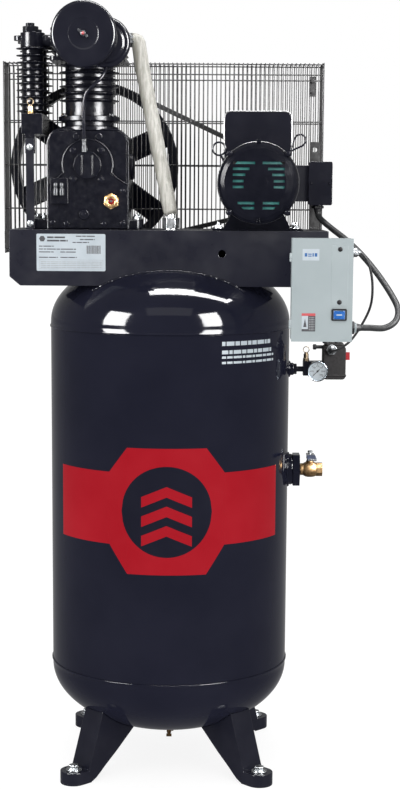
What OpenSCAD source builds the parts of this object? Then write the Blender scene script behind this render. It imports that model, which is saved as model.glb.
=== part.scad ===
// Vertical tank air compressor: receiver on four legs, two-stage pump and motor on a deck,
// wire belt guard behind them, magnetic starter and pressure switch on the right.
// Millimetres, +Z up, floor at z = 0. Most modules are drawn about the tank's axis.

/* [Tank] */
// Outside diameter of the receiver
tank_d = 610; // [600:1:620]
// Height of the lower head seam above the floor
seam_z = 275; // [270:1:280]
// Length of the rolled shell between the two seams
shell_len = 862; // [858:1:866]
// Straight flange of a head, between its seam and its dome
flange_h = 14; // [12:1:16]
// Depth of a head's dome
dome_h = 172; // [169:1:175]
// Plate thickness of shell and heads
tank_wall = 5; // [4:0.5:7]

/* [Feet] */
// Distance between anchor holes, both ways
foot_pitch = 468; // [460:2:476]
// Radius of a foot's rounded end
foot_r = 34; // [32:1:36]
// Height of a foot pad
foot_h = 33; // [30:1:36]
// Radius of an anchor hole
anchor_r = 9; // [7:0.5:11]

/* [Deck] */
// Width of the deck
deck_w = 778; // [770:2:786]
// Height of the deck's top face
deck_top = 1384; // [1383:1:1385]
// Height of the front apron
apron_h = 136; // [130:1:140]
// Sheet thickness of the deck
deck_t = 5; // [4:1:6]

/* [Pump] */
// Crankshaft centre, across from the tank's axis
crank_x = -200; // [-205:1:-195]
// Crankshaft centre above the deck
crank_h = 156; // [150:1:160]
// Crank throw, half the stroke
throw = 38; // [30:1:38]
// Low-pressure bore
lp_bore = 100; // [90:1:102]
// High-pressure bore
hp_bore = 52; // [45:1:54]
// Flywheel outside diameter
flywheel_d = 432; // [420:2:440]

/* [Motor] */
// Motor centre, across from the tank's axis
motor_x = 216; // [212:1:220]
// Shaft height above the deck
shaft_h = 115; // [112:1:118]
// Motor frame outside diameter
motor_d = 196; // [190:1:200]
// Motor pulley outside diameter
pulley_d = 158; // [140:2:170]

/* [Belt guard] */
// Height of the guard's top wire
guard_top = 1805; // [1780:5:1830]
// Bays between the guard's upright wires
guard_bays = 36; // [24:1:48]

/* [Hidden] */
$fn = 64;

black = "#26262c";
steel = "#b9bdc4";
brass = "#c29a57";

// Tank
tank_r = tank_d / 2;
seam_top = seam_z + shell_len;
outlet_z = 768;
outlet_bore_r = 13.3;
switch_port_z = 1029;
inlet_y = -100;
inlet_top = 1324;
drain_top = 80;

// Deck
deck_front = -190;
deck_back = 72;
apron_z = deck_top - apron_h;

// Pump, along Y from its cover to its flywheel
crank_z = deck_top + crank_h;
case_w = 196;
case_front = -140;
case_back = 66;
case_top = crank_z + 85;
lp_y = -78;
hp_y = 24;
block_top = 1790;
head_top = 1868;
journal_r = 20;
run_gap = 0.05;

// Drive: the two belt planes
belt_y = [105, 123];
rim_front = 92;
rim_back = 136;
groove_depth = 11;

// Motor
motor_z = deck_top + shaft_h;
motor_r = motor_d / 2;
shaft_r = 14;
foot_bolt_dx = 95.25;
foot_bolt_y = [-150, -10];

// Belt guard
guard_left = -432;
guard_right = 389;
guard_front = 76;
guard_back = 196;
guard_z = 1322;
guard_rows = [1324, 1433, 1545, 1656, 1772, guard_top - 3];
wire = 3;

// Starter enclosure
box_x0 = 291;
box_x1 = 433;
box_z0 = 1133;
box_z1 = 1372;
box_front = -400;
box_back = -315;
door_t = 1.5;
cover_gap = 1;
reset_x = 402;
reset_z = 1196;

// Pressure switch group
switch_x0 = 391;
switch_x1 = 449;
gauge_x = 376;
gauge_z = 1028;

// The frame's origin is under the middle of the whole object, cords left out
lever_right = 461;
reset_front = -408;
frame_x = (guard_left + lever_right) / 2;
frame_y = (reset_front + tank_r + 3) / 2;
module placed() translate([-frame_x, -frame_y, 0]) children();

// ---------- shared shapes ----------
module along_y(y0, y1) translate([0, y1, 0]) rotate([90, 0, 0]) linear_extrude(y1 - y0) children();
module box(x0, x1, y0, y1, z0, z1) translate([x0, y0, z0]) cube([x1 - x0, y1 - y0, z1 - z0]);
module rod_x(y, z, r, x0, x1) translate([x0, y, z]) rotate([0, 90, 0]) cylinder(r = r, h = x1 - x0);
module rod_y(x, z, r, y0, y1) translate([x, y0, z]) rotate([-90, 0, 0]) cylinder(r = r, h = y1 - y0);
module rod_z(x, y, r, z0, z1) translate([x, y, z0]) cylinder(r = r, h = z1 - z0);
module hex_x(y, z, af, x0, x1)
    translate([x0, y, z]) rotate([0, 90, 0]) cylinder(d = af / cos(30), h = x1 - x0, $fn = 6);
module hex_y(x, z, af, y0, y1)
    translate([x, y0, z]) rotate([-90, 0, 0]) cylinder(d = af / cos(30), h = y1 - y0, $fn = 6);
module hex_z(x, y, af, z0, z1) translate([x, y, z0]) cylinder(d = af / cos(30), h = z1 - z0, $fn = 6);
module ring_y(x, z, r_out, r_in, y0, y1) difference() {
    rod_y(x, z, r_out, y0, y1);
    rod_y(x, z, r_in, y0 - 1, y1 + 1);
}

// A straight round bar between two points
module bar(p, q, r) {
    d = q - p;
    length = norm(d);
    translate(p)
        rotate([0, acos(d[2] / length), atan2(d[1], d[0])])
            cylinder(r = r, h = length);
}

// Head with its flange on the plane z = 0, upward for side = 1 and downward for side = -1
function dome_arc(a, b, side) = [for (i = [0:24]) [a * cos(3.75 * i), side * (flange_h + b * sin(3.75 * i))]];
module dome(a, b, side) rotate_extrude($fn = 96) polygon(concat([[0, 0], [a, 0]], dome_arc(a, b, side)));

// ---------- receiver ----------
module tank_shell() color(black) difference() {
    union() {
        rod_z(0, 0, tank_r, seam_z, seam_top);
        rod_x(0, outlet_z, 40, tank_r - 25, 318);
        hex_x(0, outlet_z, 80, 318, 336);
        rod_x(0, switch_port_z, 16, tank_r - 25, 318);
    }
    rod_z(0, 0, tank_r - tank_wall, seam_z - 1, seam_top + 1);
    rod_x(0, outlet_z, outlet_bore_r, tank_r - 30, 337);
    rod_x(0, switch_port_z, 7, tank_r - 30, 319);
}

// Weld bead on the head's side of a seam
module seam_bead(side) rotate_extrude($fn = 96) polygon([
    [tank_r - 2, 0], [tank_r + 3, 0], [tank_r + 2, side * 4], [tank_r - 2, side * 7]
]);

module tank_top_head() color(black) difference() {
    union() {
        translate([0, 0, seam_top]) {
            dome(tank_r, dome_h, 1);
            seam_bead(1);
        }
        rod_z(0, inlet_y, 22, seam_top + 100, inlet_top);
    }
    translate([0, 0, seam_top - 0.01]) dome(tank_r - tank_wall, dome_h - tank_wall, 1);
    rod_z(0, inlet_y, 13, seam_top + 90, inlet_top + 1);
}

module tank_bottom_head() color(black) difference() {
    union() {
        translate([0, 0, seam_z]) {
            dome(tank_r, dome_h, -1);
            seam_bead(-1);
        }
        rod_z(0, 0, 14, drain_top, seam_z - 100);
    }
    translate([0, 0, seam_z + 0.01]) dome(tank_r - tank_wall, dome_h - tank_wall, -1);
    rod_z(0, 0, 7, drain_top - 1, seam_z - 90);
}

// One leg, drawn pointing along +X: channel with a sloping web, deep side plates and a tray foot
foot_u = foot_pitch / 2 * sqrt(2);
module foot_outline(r) {
    translate([foot_u, 0, 0]) cylinder(r = r, h = foot_h);
    translate([300, -r, 0]) cube([foot_u - 300, 2 * r, foot_h]);
}
module leg_side(v) along_y(v - 2.5, v + 2.5) polygon([
    [312, 0], [308, foot_h], [242, 235], [140, 235], [140, 128],
    [214, 65], [255, 33], [270, 20], [284, 9], [296, 3], [308, 0]
]);
module leg() color(black) difference() {
    union() {
        difference() {
            foot_outline(foot_r);
            translate([0, 0, -5]) foot_outline(foot_r - 5);
        }
        for (side = [-1, 1]) leg_side(side * (foot_r - 2.5));
        along_y(-foot_r, foot_r) polygon([[308, foot_h], [302, foot_h], [236, 235], [242, 235]]);
    }
    translate([foot_u, 0, -1]) cylinder(r = anchor_r, h = foot_h + 2);
    translate([0, 0, seam_z]) dome(tank_r, dome_h, -1);
}
module leg_front_left() rotate([0, 0, -135]) leg();
module leg_front_right() rotate([0, 0, -45]) leg();
module leg_rear_left() rotate([0, 0, 135]) leg();
module leg_rear_right() rotate([0, 0, 45]) leg();

// ---------- deck ----------
module deck() color(black) difference() {
    union() {
        box(-deck_w / 2, deck_w / 2, deck_front, deck_back, deck_top - deck_t, deck_top);
        along_y(deck_front, deck_front + deck_t) polygon([
            [-deck_w / 2, deck_top - 1], [deck_w / 2, deck_top - 1], [deck_w / 2, apron_z + 22],
            [deck_w / 2 - 26, apron_z], [26 - deck_w / 2, apron_z], [-deck_w / 2, apron_z + 22]
        ]);
        box(-deck_w / 2, deck_w / 2, deck_back - deck_t, deck_back, deck_top - 45, deck_top - 1);
        for (x = [-deck_w / 2, deck_w / 2 - deck_t])
            box(x, x + deck_t, deck_front, deck_back, deck_top - 84, deck_top - 1);
    }
    rod_y(130, 1328, 9, deck_front - 1, deck_front + deck_t + 1);
    translate([0, 0, seam_top]) dome(tank_r, dome_h, 1);
    rod_z(3, inlet_y, 26, deck_top - deck_t - 1, deck_top + 1);
    for (y = foot_bolt_y)
        for (side = [-1, 1]) rod_z(motor_x + side * foot_bolt_dx, y, 5.5, deck_top - deck_t - 1, deck_top + 1);
    for (p = case_bolts) rod_z(p[0], p[1], 5.5, deck_top - deck_t - 1, deck_top + 1);
}

module deck_supports() color(black) difference() {
    union() {
        for (x = [-150, 142]) box(x, x + 8, deck_front + deck_t, 60, 1200, deck_top - deck_t);
        box(-142, 142, 40, 48, 1200, deck_top - deck_t);
    }
    translate([0, 0, seam_top]) dome(tank_r, dome_h, 1);
}

// ---------- pump ----------
case_bolts = [for (x = [-326, -84], y = [-102, 28]) [x, y]];
ear_h = 24;

module crankcase() color(black) difference() {
    union() {
        box(crank_x - case_w / 2, crank_x + case_w / 2, case_front, case_back, deck_top, case_top - 28);
        box(crank_x - 70, crank_x + 70, case_front, case_back, case_top - 28, case_top);
        for (x = [crank_x - 70, crank_x + 70]) rod_y(x, case_top - 28, 28, case_front, case_back);
        for (p = case_bolts) {
            rod_z(p[0], p[1], 14, deck_top, deck_top + ear_h);
            box(min(p[0], crank_x + 90), max(p[0], crank_x - 90), p[1] - 14, p[1] + 14, deck_top, deck_top + ear_h);
        }
    }
    box(crank_x - 86, crank_x + 86, case_front - 1, case_back - 18, deck_top + 14, case_top - 13);
    rod_z(crank_x, lp_y, lp_bore / 2 + 2, case_top - 20, case_top + 1);
    rod_z(crank_x, hp_y, hp_bore / 2 + 2, case_top - 20, case_top + 1);
    rod_y(crank_x, crank_z, 36, case_back - 19, case_back - 2);
    rod_y(crank_x, crank_z, 22, case_back - 3, case_back + 1);
    for (p = case_bolts) rod_z(p[0], p[1], 5.5, deck_top - 1, deck_top + ear_h + 1);
}

// Front cover: a plate over the whole opening, and on it an arch round the bearing
cover_front = case_front - 10;
cover_bolts = [for (x = [-35, 33], z = [-34, 35]) [crank_x + x, crank_z + z]];
module crankcase_cover() color(black) difference() {
    union() {
        rod_y(crank_x, crank_z, 62, cover_front, case_front);
        along_y(cover_front, case_front) polygon([
            [crank_x - 98, deck_top + 4], [crank_x + 98, deck_top + 4], [crank_x + 98, crank_z - 48],
            [crank_x + 57, crank_z - 22], [crank_x - 57, crank_z - 22], [crank_x - 98, crank_z - 48]
        ]);
        box(crank_x - 95, crank_x + 95, case_front - 6, case_front, deck_top + 4, case_top - 28);
        box(crank_x - 70, crank_x + 70, case_front - 6, case_front, case_top - 28, case_top - 3);
        for (side = [-1, 1]) rod_y(crank_x + side * 70, case_top - 28, 25, case_front - 6, case_front);
        rod_y(crank_x, crank_z, 33, cover_front - 15, cover_front);
        for (x = [-14, 11]) box(crank_x + x, crank_x + x + 3, cover_front - 19, cover_front, crank_z - 24, crank_z + 24);
        box(-290, -248, cover_front - 8, cover_front, 1446, 1508);
        rod_y(crank_x, crank_z, 46, case_front, case_front + 16);
    }
    rod_y(crank_x, crank_z, 36, case_front - 6, case_front + 17);
    rod_y(-142, 1453, 10, cover_front - 1, case_front + 1);
    rod_y(-209, 1420, 8, cover_front - 1, case_front + 1);
    for (p = cover_bolts) rod_y(p[0], p[1], 3.3, cover_front - 1, cover_front + 6);
}

module sight_glass() {
    color(brass) hex_y(-142, 1453, 34, cover_front - 9, cover_front);
    color(brass) rod_y(-142, 1453, 9.9, cover_front, cover_front + 9);
}

// Breather hose from the intake housing down to the fitting over the bearing, and two plugs
breather = [[-152, -160, 1790], [-153, -160, 1774], [-161, -172, 1752], [-180, -178, 1732],
    [-199, -178, 1712], [-206, -176, 1688], [-207, -170, 1640], [-207, -164, 1596], [-207, -164, 1560]];
module breather_tube() color(black) {
    tube_along(concat(span_points(breather, 3), [breather[len(breather) - 2]]), 4, 10,
        [0, 0, -1], [0, 0, -1]);
    rod_z(-207, -164, 6, 1573, 1599);
    rod_y(-207, 1580, 5, -164, cover_front);
    for (x = [-277, -262]) rod_y(x, 1484, 6, cover_front - 22, cover_front - 8);
}

module cylinder_block() color(black) difference() {
    intersection() {
        box(crank_x - 90, crank_x + 90, -152, 62, case_top, block_top);
        union() {
            rod_z(crank_x, lp_y, 72, case_top, 1646);
            rod_z(crank_x, hp_y, 52, case_top, 1646);
            rod_z(crank_x, lp_y, 79, 1646, 1660);
            rod_z(crank_x, hp_y, 58, 1646, 1660);
            rod_z(crank_x, lp_y, 59, case_top, block_top);
            rod_z(crank_x, hp_y, 38, case_top, block_top);
            box(crank_x - 22, crank_x + 22, lp_y, hp_y, case_top, block_top);
            for (i = [0:4]) {
                rod_z(crank_x, lp_y, 78, 1695 + 18 * i, 1699 + 18 * i);
                rod_z(crank_x, hp_y, 57, 1695 + 18 * i, 1699 + 18 * i);
            }
        }
    }
    rod_z(crank_x, lp_y, lp_bore / 2, case_top - 1, block_top + 1);
    rod_z(crank_x, hp_y, hp_bore / 2, case_top - 1, block_top + 1);
}

// Head with its valve plate below, level fins and four ports
head_ports = [-60, 24];
module cylinder_head() color(black) {
    difference() {
        union() {
            box(-292, -108, -150, 62, block_top, block_top + 12);
            box(-280, -120, -142, 52, block_top + 12, head_top - 4);
            for (i = [0:3]) box(-290, -110, -150, 60, block_top + 22 + 14 * i, block_top + 26 + 14 * i);
            box(-290, -110, -150, 60, head_top - 6, head_top);
            for (y = head_ports) rod_x(y, 1843, 19, -296, -279);
            rod_x(-40, 1848, 20, -121, -104);
            rod_y(-155, 1832, 40, -150, -141);
        }
        for (y = head_ports) rod_x(y, 1843, 9, -297, -281);
        rod_x(-40, 1848, 9, -119, -103);
        rod_y(-155, 1832, 20, -151, -143);
    }
}

// ---------- air filter ----------
filter_x = -203;
filter_z = 1846;
module filter_base() color(black) difference() {
    union() {
        rod_y(-155, 1832, 58, -168, -150);
        rod_y(-175, 1838, 32, -180, -168);
        rod_y(filter_x, filter_z, 74, -186, -180);
        rod_y(filter_x, filter_z, 4, -240, -186);
    }
    rod_y(-155, 1832, 20, -164, -149);
    rod_y(-172, 1837, 18, -187, -163);
}
module filter_element() color("#d8cdb0") ring_y(filter_x, filter_z, 62, 42, -226, -186);
module filter_cover() color(black) difference() {
    union() {
        rod_y(filter_x, filter_z, 78, -230, -184);
        rod_y(filter_x, filter_z, 76, -232, -230);
    }
    rod_y(filter_x, filter_z, 75.5, -229, -183);
    rod_y(filter_x, filter_z, 4.3, -233, -228);
    ring_y(filter_x, filter_z, 42, 39, -233, -231.2);
}
module wing_nut() color(steel) difference() {
    translate([filter_x, 0, filter_z]) rotate([0, 35, 0]) union() {
        rod_y(0, 0, 7, -240, -232.2);
        for (side = [-1, 1]) translate([side * 11, -238, 0]) rotate([0, 0, side * -25])
            cube([14, 3, 9], center = true);
    }
    rod_y(filter_x, filter_z, 4 + run_gap, -250, -230);
}

// ---------- intercooler ----------
cooler_x = -341;
cooler_z0 = 1664;
cooler_z1 = 1827;
module intercooler() color(black) for (y = head_ports) difference() {
    union() {
        rod_z(cooler_x, y, 26, cooler_z0, cooler_z1);
        for (i = [0:8]) rod_z(cooler_x, y, 41, cooler_z0 + 8 + 18 * i, cooler_z0 + 11 + 18 * i);
    }
    rod_z(cooler_x, y, 22, cooler_z0 - 1, cooler_z1 + 1);
}
module intercooler_headers() color(black) {
    for (y = head_ports) {
        rod_z(cooler_x, y, 30, cooler_z1, 1862);
        box(-376, -307, y - 15, y + 15, 1843, 1855);
        for (x = [-374, -309]) rod_z(x, y, 13, 1843, 1855);
        hex_z(-346, y, 34, 1862, 1878);
        hex_z(-347, y, 19, 1878, 1886);
        rod_x(y, 1843, 15, cooler_x, -296);
    }
    box(-364, -312, -125, 50, 1615, cooler_z0);
    box(-355, -331, -125, -113, 1568, 1615);
}

// Pop-off relief valve standing at the origin, and the ring that pulls its stem up
module pop_body() color(brass) difference() {
    union() {
        hex_z(0, 0, 14, 0, 7);
        rod_z(0, 0, 6.5, 7, 18);
    }
    rod_z(0, 0, 2.55, 5, 19);
}
module pop_ring() color(steel) {
    rod_z(0, 0, 2.5, 8, 20);
    rod_z(0, 0, 5, 18.3, 22);
    translate([0, 0, 29]) rotate([90, 0, 0]) rotate_extrude($fn = 32) translate([7.5, 0]) circle(r = 1, $fn = 16);
}
relief_at = [-342, -113, cooler_z0];
module relief_valve() translate(relief_at) pop_body();
module relief_ring() translate(relief_at) pop_ring();

module intercooler_strap() color(black) difference() {
    union() {
        box(-353, -333, -129, -125, deck_top, 1604);
        box(-353, -333, -150, -129, deck_top, deck_top + 4);
    }
    for (z = [1398, 1583]) rod_y(-343, z, 3.5, -130, -124);
}

// ---------- discharge line ----------
bend_top = [-80, -42, 1842];
bend_low = [3, inlet_y, 1430];
module discharge_pipe() color(steel) {
    hex_x(-40, 1848, 30, -104, -92);
    tube_along([[-92, -40, 1848], [-84, -40, 1848], for (u = [0.02, 0.5, 0.98]) bend_top + u * (bend_low - bend_top),
        [3, inlet_y, 1421], [3, inlet_y, 1413]], 10.9, 16, [1, 0, 0], [0, 0, -1]);
}
module discharge_sleeve() color("#a9a79a") difference() {
    bar(bend_top + 0.03 * (bend_low - bend_top), bend_top + 0.97 * (bend_low - bend_top), 19);
    bar(bend_top, bend_low, 11);
}
module check_valve() color(steel) difference() {
    union() {
        rod_z(3, inlet_y, 16, inlet_top, 1390);
        hex_z(3, inlet_y, 38, 1388, 1413);
    }
    rod_z(3, inlet_y, 9, inlet_top - 1, 1414);
}

// ---------- running gear ----------
// Crank web in the XZ plane with its pin side up (1) or down (-1)
module web(y0, y1, side) {
    rod_y(crank_x, crank_z, 27, y0, y1);
    rod_y(crank_x, crank_z + side * throw, 24, y0, y1);
    box(crank_x - 24, crank_x + 24, y0, y1, min(crank_z, crank_z + side * throw), max(crank_z, crank_z + side * throw));
    intersection() {
        rod_y(crank_x, crank_z, 62, y0, y1);
        box(crank_x - 50, crank_x + 50, y0, y1, crank_z - (side > 0 ? 62 : 0), crank_z + (side > 0 ? 0 : 62));
    }
}
module crankshaft() color(steel) {
    rod_y(crank_x, crank_z, journal_r, case_front - 4, -106);
    web(-108, -96, 1);
    rod_y(crank_x, crank_z + throw, 17, -96, -60);
    web(-60, -48, 1);
    rod_y(crank_x, crank_z, journal_r, -48, -2);
    web(-6, 6, -1);
    rod_y(crank_x, crank_z - throw, 17, 6, 34);
    web(34, 44, -1);
    rod_y(crank_x, crank_z, journal_r, 44, rim_back + 6);
    rod_y(crank_x, crank_z + throw, 27, lp_y - 11, lp_y + 11);
    rod_y(crank_x, crank_z - throw, 27, hp_y - 14, hp_y + 6);
}

// Pistons with wrist pins and the rods' upper ends, standing at the cranks' rest positions
lp_pin_z = crank_z + throw + 140;
hp_pin_z = crank_z - throw + 145;
module piston(y, r, pin_z, crown) difference() {
    rod_z(crank_x, y, r - 0.1, pin_z - crown * 0.45, pin_z + crown * 0.55);
    rod_z(crank_x, y, r - 7, pin_z - crown, pin_z + crown * 0.3);
}
module piston_sets() color(steel) {
    piston(lp_y, lp_bore / 2, lp_pin_z, 54);
    rod_x(lp_y, lp_pin_z, 9, crank_x - lp_bore / 2 + 6, crank_x + lp_bore / 2 - 6);
    box(crank_x - 9, crank_x + 9, lp_y - 7, lp_y + 7, crank_z + 70, lp_pin_z + 6);
    piston(hp_y, hp_bore / 2, hp_pin_z, 44);
    rod_x(hp_y, hp_pin_z, 6, crank_x - hp_bore / 2 + 5, crank_x + hp_bore / 2 - 5);
    box(crank_x - 6, crank_x + 6, hp_y - 5, hp_y + 5, crank_z + 70, hp_pin_z + 5);
}

module bearings() color(steel) {
    ring_y(crank_x, crank_z, 36, journal_r + run_gap, case_front - 4, case_front + 14);
    ring_y(crank_x, crank_z, 36, journal_r + run_gap, case_back - 18, case_back - 2);
    ring_y(motor_x, motor_z, 26, shaft_r + run_gap, -232, -216);
    ring_y(motor_x, motor_z, 26, shaft_r + run_gap, 24, 40);
}

// Sheave rim: a ring with a V groove for each belt, drawn about Z with z as the way along Y
module grooved_rim(r_out, r_in) rotate_extrude($fn = 96) polygon(concat(
    [[r_in, rim_front], [r_out, rim_front]],
    [for (y = belt_y) each [[r_out, y - 6.5], [r_out - groove_depth, y - 4],
        [r_out - groove_depth, y + 4], [r_out, y + 6.5]]],
    [[r_out, rim_back], [r_in, rim_back]]
));
module about_y(x, z) translate([x, 0, z]) rotate([-90, 0, 0]) children();

blade_count = 6;
blade_w = 60;
module flywheel() color(black) difference() {
    about_y(crank_x, crank_z) union() {
        grooved_rim(flywheel_d / 2, flywheel_d / 2 - 22);
        translate([0, 0, rim_front - 2]) cylinder(r = 42, h = rim_back - rim_front + 6);
        for (i = [0:blade_count - 1])
            rotate([0, 0, -24 + 60 * i]) translate([34, 0, (rim_front + rim_back) / 2]) rotate([22, 0, 0])
                translate([0, -blade_w / 2, -4]) cube([flywheel_d / 2 - 22 - 32, blade_w, 8]);
    }
    rod_y(crank_x, crank_z, journal_r, rim_front - 4, rim_back + 6);
}
module motor_pulley() color(steel) difference() {
    about_y(motor_x, motor_z) union() {
        grooved_rim(pulley_d / 2, pulley_d / 2 - 18);
        translate([0, 0, rim_front + 12]) cylinder(r = pulley_d / 2 - 16, h = 16);
        translate([0, 0, rim_front]) cylinder(r = 28, h = rim_back - rim_front);
    }
    rod_y(motor_x, motor_z, shaft_r, rim_front - 1, rim_back + 1);
}

belt_gap = 0.6;
module belt_outline(lift) hull() {
    translate([crank_x, crank_z]) circle(r = flywheel_d / 2 + lift, $fn = 120);
    translate([motor_x, motor_z]) circle(r = pulley_d / 2 + lift, $fn = 72);
}
module belts() color("#1b1b1b") for (y = belt_y) along_y(y - 3.4, y + 3.4) difference() {
    belt_outline(1);
    belt_outline(belt_gap - groove_depth);
}

// ---------- motor ----------
module motor_frame() color(black) difference() {
    union() {
        rod_y(motor_x, motor_z, motor_r, -205, 20);
        box(motor_x - 110, motor_x + 110, -168, 8, deck_top, deck_top + 5);
        for (y = [-160, -8]) along_y(y, y + 8) polygon([
            [motor_x - 82, deck_top + 4], [motor_x + 82, deck_top + 4],
            [motor_x + 62, deck_top + 45], [motor_x - 62, deck_top + 45]
        ]);
    }
    rod_y(motor_x, motor_z, motor_r - 4, -206, 21);
    for (y = foot_bolt_y)
        for (side = [-1, 1]) rod_z(motor_x + side * foot_bolt_dx, y, 5.5, deck_top - 1, deck_top + 6);
}

// Vent slots of the front bell: height above the shaft, inner end, outer end
vents = [[47, 9, 62], [33, 22, 62], [19, 32, 62], [4, 36, 62], [-10, 36, 62], [-48, 10, 50], [-60, 10, 40]];
tie_at = 70;
module bell_shape() rotate_extrude($fn = 96) polygon([
    [0, 0], [66, 0], [82, 3], [91, 9], [96, 18], [motor_r, 24], [motor_r, 35], [motor_r - 4, 35],
    [motor_r - 4, 27], [90, 20], [80, 9], [66, 6], [32, 6], [32, 24], [26, 24], [26, 8], [0, 8]
]);
module motor_front_bell() color(black) difference() {
    union() {
        translate([motor_x, -240, motor_z]) rotate([-90, 0, 0]) bell_shape();
        for (sx = [-1, 1], sz = [-1, 1]) rod_y(motor_x + sx * tie_at, motor_z + sz * tie_at, 8, -232, -206);
    }
    for (v = vents)
        for (side = [-1, 1])
            box(motor_x + min(side * v[1], side * v[2]), motor_x + max(side * v[1], side * v[2]),
                -241, -228, motor_z + v[0] - 3, motor_z + v[0] + 3);
}
module motor_rear_bell() color(black) difference() {
    union() {
        rod_y(motor_x, motor_z, motor_r, 20, 24);
        rod_y(motor_x, motor_z, 88, 24, 34);
        rod_y(motor_x, motor_z, 34, 24, 45);
    }
    rod_y(motor_x, motor_z, 80, 19, 29);
    rod_y(motor_x, motor_z, 26, 19, 40);
    rod_y(motor_x, motor_z, shaft_r + 1.5, 39, 46);
}
module stator() color("#a86a3c") difference() {
    union() {
        rod_y(motor_x, motor_z, motor_r - 4, -150, -30);
        rod_y(motor_x, motor_z, 86, -172, -8);
    }
    rod_y(motor_x, motor_z, 62, -173, -7);
}
module rotor() color(steel) {
    rod_y(motor_x, motor_z, shaft_r, -231, rim_back);
    rod_y(motor_x, motor_z, 61, -150, -30);
    rod_y(motor_x, motor_z, 24, -200, -150);
    rod_y(motor_x, motor_z, 84, -182, -179);
    for (i = [0:9]) translate([motor_x, 0, motor_z]) rotate([0, 36 * i, 0]) box(22, 80, -202, -181, -1.5, 1.5);
}
module capacitor_cover() color(black) difference() {
    union() {
        box(motor_x - 83, motor_x + 83, -130, -5, motor_z + 52, motor_z + 155);
        box(motor_x - 65, motor_x + 65, -130, -5, motor_z + 155, motor_z + 173);
        for (side = [-1, 1]) rod_y(motor_x + side * 65, motor_z + 155, 18, -130, -5);
    }
    box(motor_x - 80, motor_x + 80, -127, -8, motor_z + 40, motor_z + 155);
    box(motor_x - 66, motor_x + 66, -127, -8, motor_z + 40, motor_z + 170);
    rod_y(motor_x, motor_z, motor_r, -131, -4);
}
module junction_box() color(black) difference() {
    union() {
        box(349, 403, -40, 40, 1449, 1551);
        box(motor_x + 70, 349, -30, 30, 1455, 1545);
        rod_z(372, -8, 13, 1437, 1449);
    }
    box(352, 400, -37, 37, 1452, 1548);
    box(motor_x + 60, 353, -27, 27, 1458, 1542);
    rod_y(motor_x, motor_z, motor_r, -41, 41);
    rod_z(372, -8, 8.5, 1436, 1453);
}

// ---------- belt guard ----------
module guard_panel(y_up, y_across) {
    pitch = (guard_right - guard_left - 2 * 2 - wire) / guard_bays;
    for (i = [0:guard_bays]) {
        x = guard_left + 2 + pitch * i;
        box(x, x + wire, y_up, y_up + wire, guard_z, guard_top);
    }
    for (z = guard_rows) box(guard_left + 2, guard_right - 2, y_across, y_across + wire, z - wire / 2, z + wire / 2);
}
module guard_panels() color(black) {
    difference() {
        guard_panel(guard_front, guard_front + wire);
        rod_y(crank_x, crank_z, 60, guard_front - 1, guard_front + 10);
        rod_y(motor_x, motor_z, 40, guard_front - 1, guard_front + 10);
    }
    guard_panel(guard_back - wire, guard_back - 2 * wire);
}
module guard_frame() color(black) {
    box(guard_left, guard_left + 2, guard_front, guard_back, guard_z - 4, guard_top);
    box(guard_right - 2, guard_right, guard_front, guard_back, guard_z - 4, guard_top);
    box(guard_left, 12 - deck_w / 2, deck_back, guard_front, 1330, 1374);
    box(deck_w / 2 - 12, guard_right, deck_back, guard_front, 1330, 1374);
    difference() {
        box(355, 380, deck_back - 2, deck_back + 2, deck_top, 1606);
        rod_y(367, 1586, 6, deck_back - 3, deck_back + 3);
    }
    box(355, 380, 50, deck_back - 1, deck_top, deck_top + 3);
}

// ---------- starter ----------
hinge_x = box_x0 - 3;
hinge_y = box_front + 1;
hinge_bands = [box_z0 + 30, box_z1 - 54];
module starter_box() color("#b4bec0") difference() {
    union() {
        box(box_x0 + 1.5, box_x1 - 1.5, box_front + door_t + cover_gap, box_back, box_z0 + 1, box_z1 - 1);
        box(330, 335, box_back, deck_front, 1262, 1360);
        for (z = [1262, 1355]) box(330, 362, box_back, deck_front, z, z + 5);
        rod_x(-356, 1163, 12, box_x1 - 3, 446);
        rod_x(-356, 1339, 9, box_x1 - 3, 445);
        for (z = hinge_bands) {
            rod_z(hinge_x, hinge_y, 2.6, z, z + 8);
            box(hinge_x, box_x0 + 3, hinge_y + 1.6, hinge_y + 3, z, z + 8);
        }
    }
    box(box_x0 + 3, box_x1 - 3, box_front - 1, box_back - 1.5, box_z0 + 2.5, box_z1 - 2.5);
    rod_z(360, -360, 14, box_z0 - 1, box_z0 + 4);
    rod_x(-356, 1163, 8.5, box_x1 - 5, 447);
    rod_x(-356, 1339, 4, box_x1 - 5, 446);
    for (z = hinge_bands) rod_z(hinge_x, hinge_y, 1.5 + run_gap, z - 1, z + 9);
}
module starter_door() color("#b8c2c4") difference() {
    union() {
        box(box_x0, box_x1, box_front, box_front + door_t, box_z0, box_z1);
        box(383, 421, box_front - 0.8, box_front, 1217, 1355);
        for (z = [1225, 1347]) rod_y(402, z, 5, box_front - 2, box_front);
        box(reset_x - 17, reset_x + 17, box_front - 4, box_front, reset_z - 13, reset_z + 13);
        for (z = hinge_bands) {
            rod_z(hinge_x, hinge_y, 2.6, z + 8.3, z + 20);
            box(hinge_x, box_x0 + 1, hinge_y - 1, hinge_y + 0.4, z + 8.3, z + 20);
            rod_z(hinge_x, hinge_y, 1.5, z, z + 9);
        }
    }
    box(reset_x - 13.3, reset_x + 13.3, box_front - 5, box_front + 2, reset_z - 9.8, reset_z + 9.8);
}
module reset_button() color("#1d6fc0")
    box(reset_x - 13, reset_x + 13, reset_front, box_front + 3, reset_z - 9.5, reset_z + 9.5);
module contactor() color("#33353a") {
    box(305, 365, -382, box_back - 1.5, 1240, 1330);
    box(310, 360, -374, box_back - 1.5, 1196, 1240);
    for (x = [312, 330, 348]) box(x, x + 10, -378, -366, 1330, 1338);
}

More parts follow.
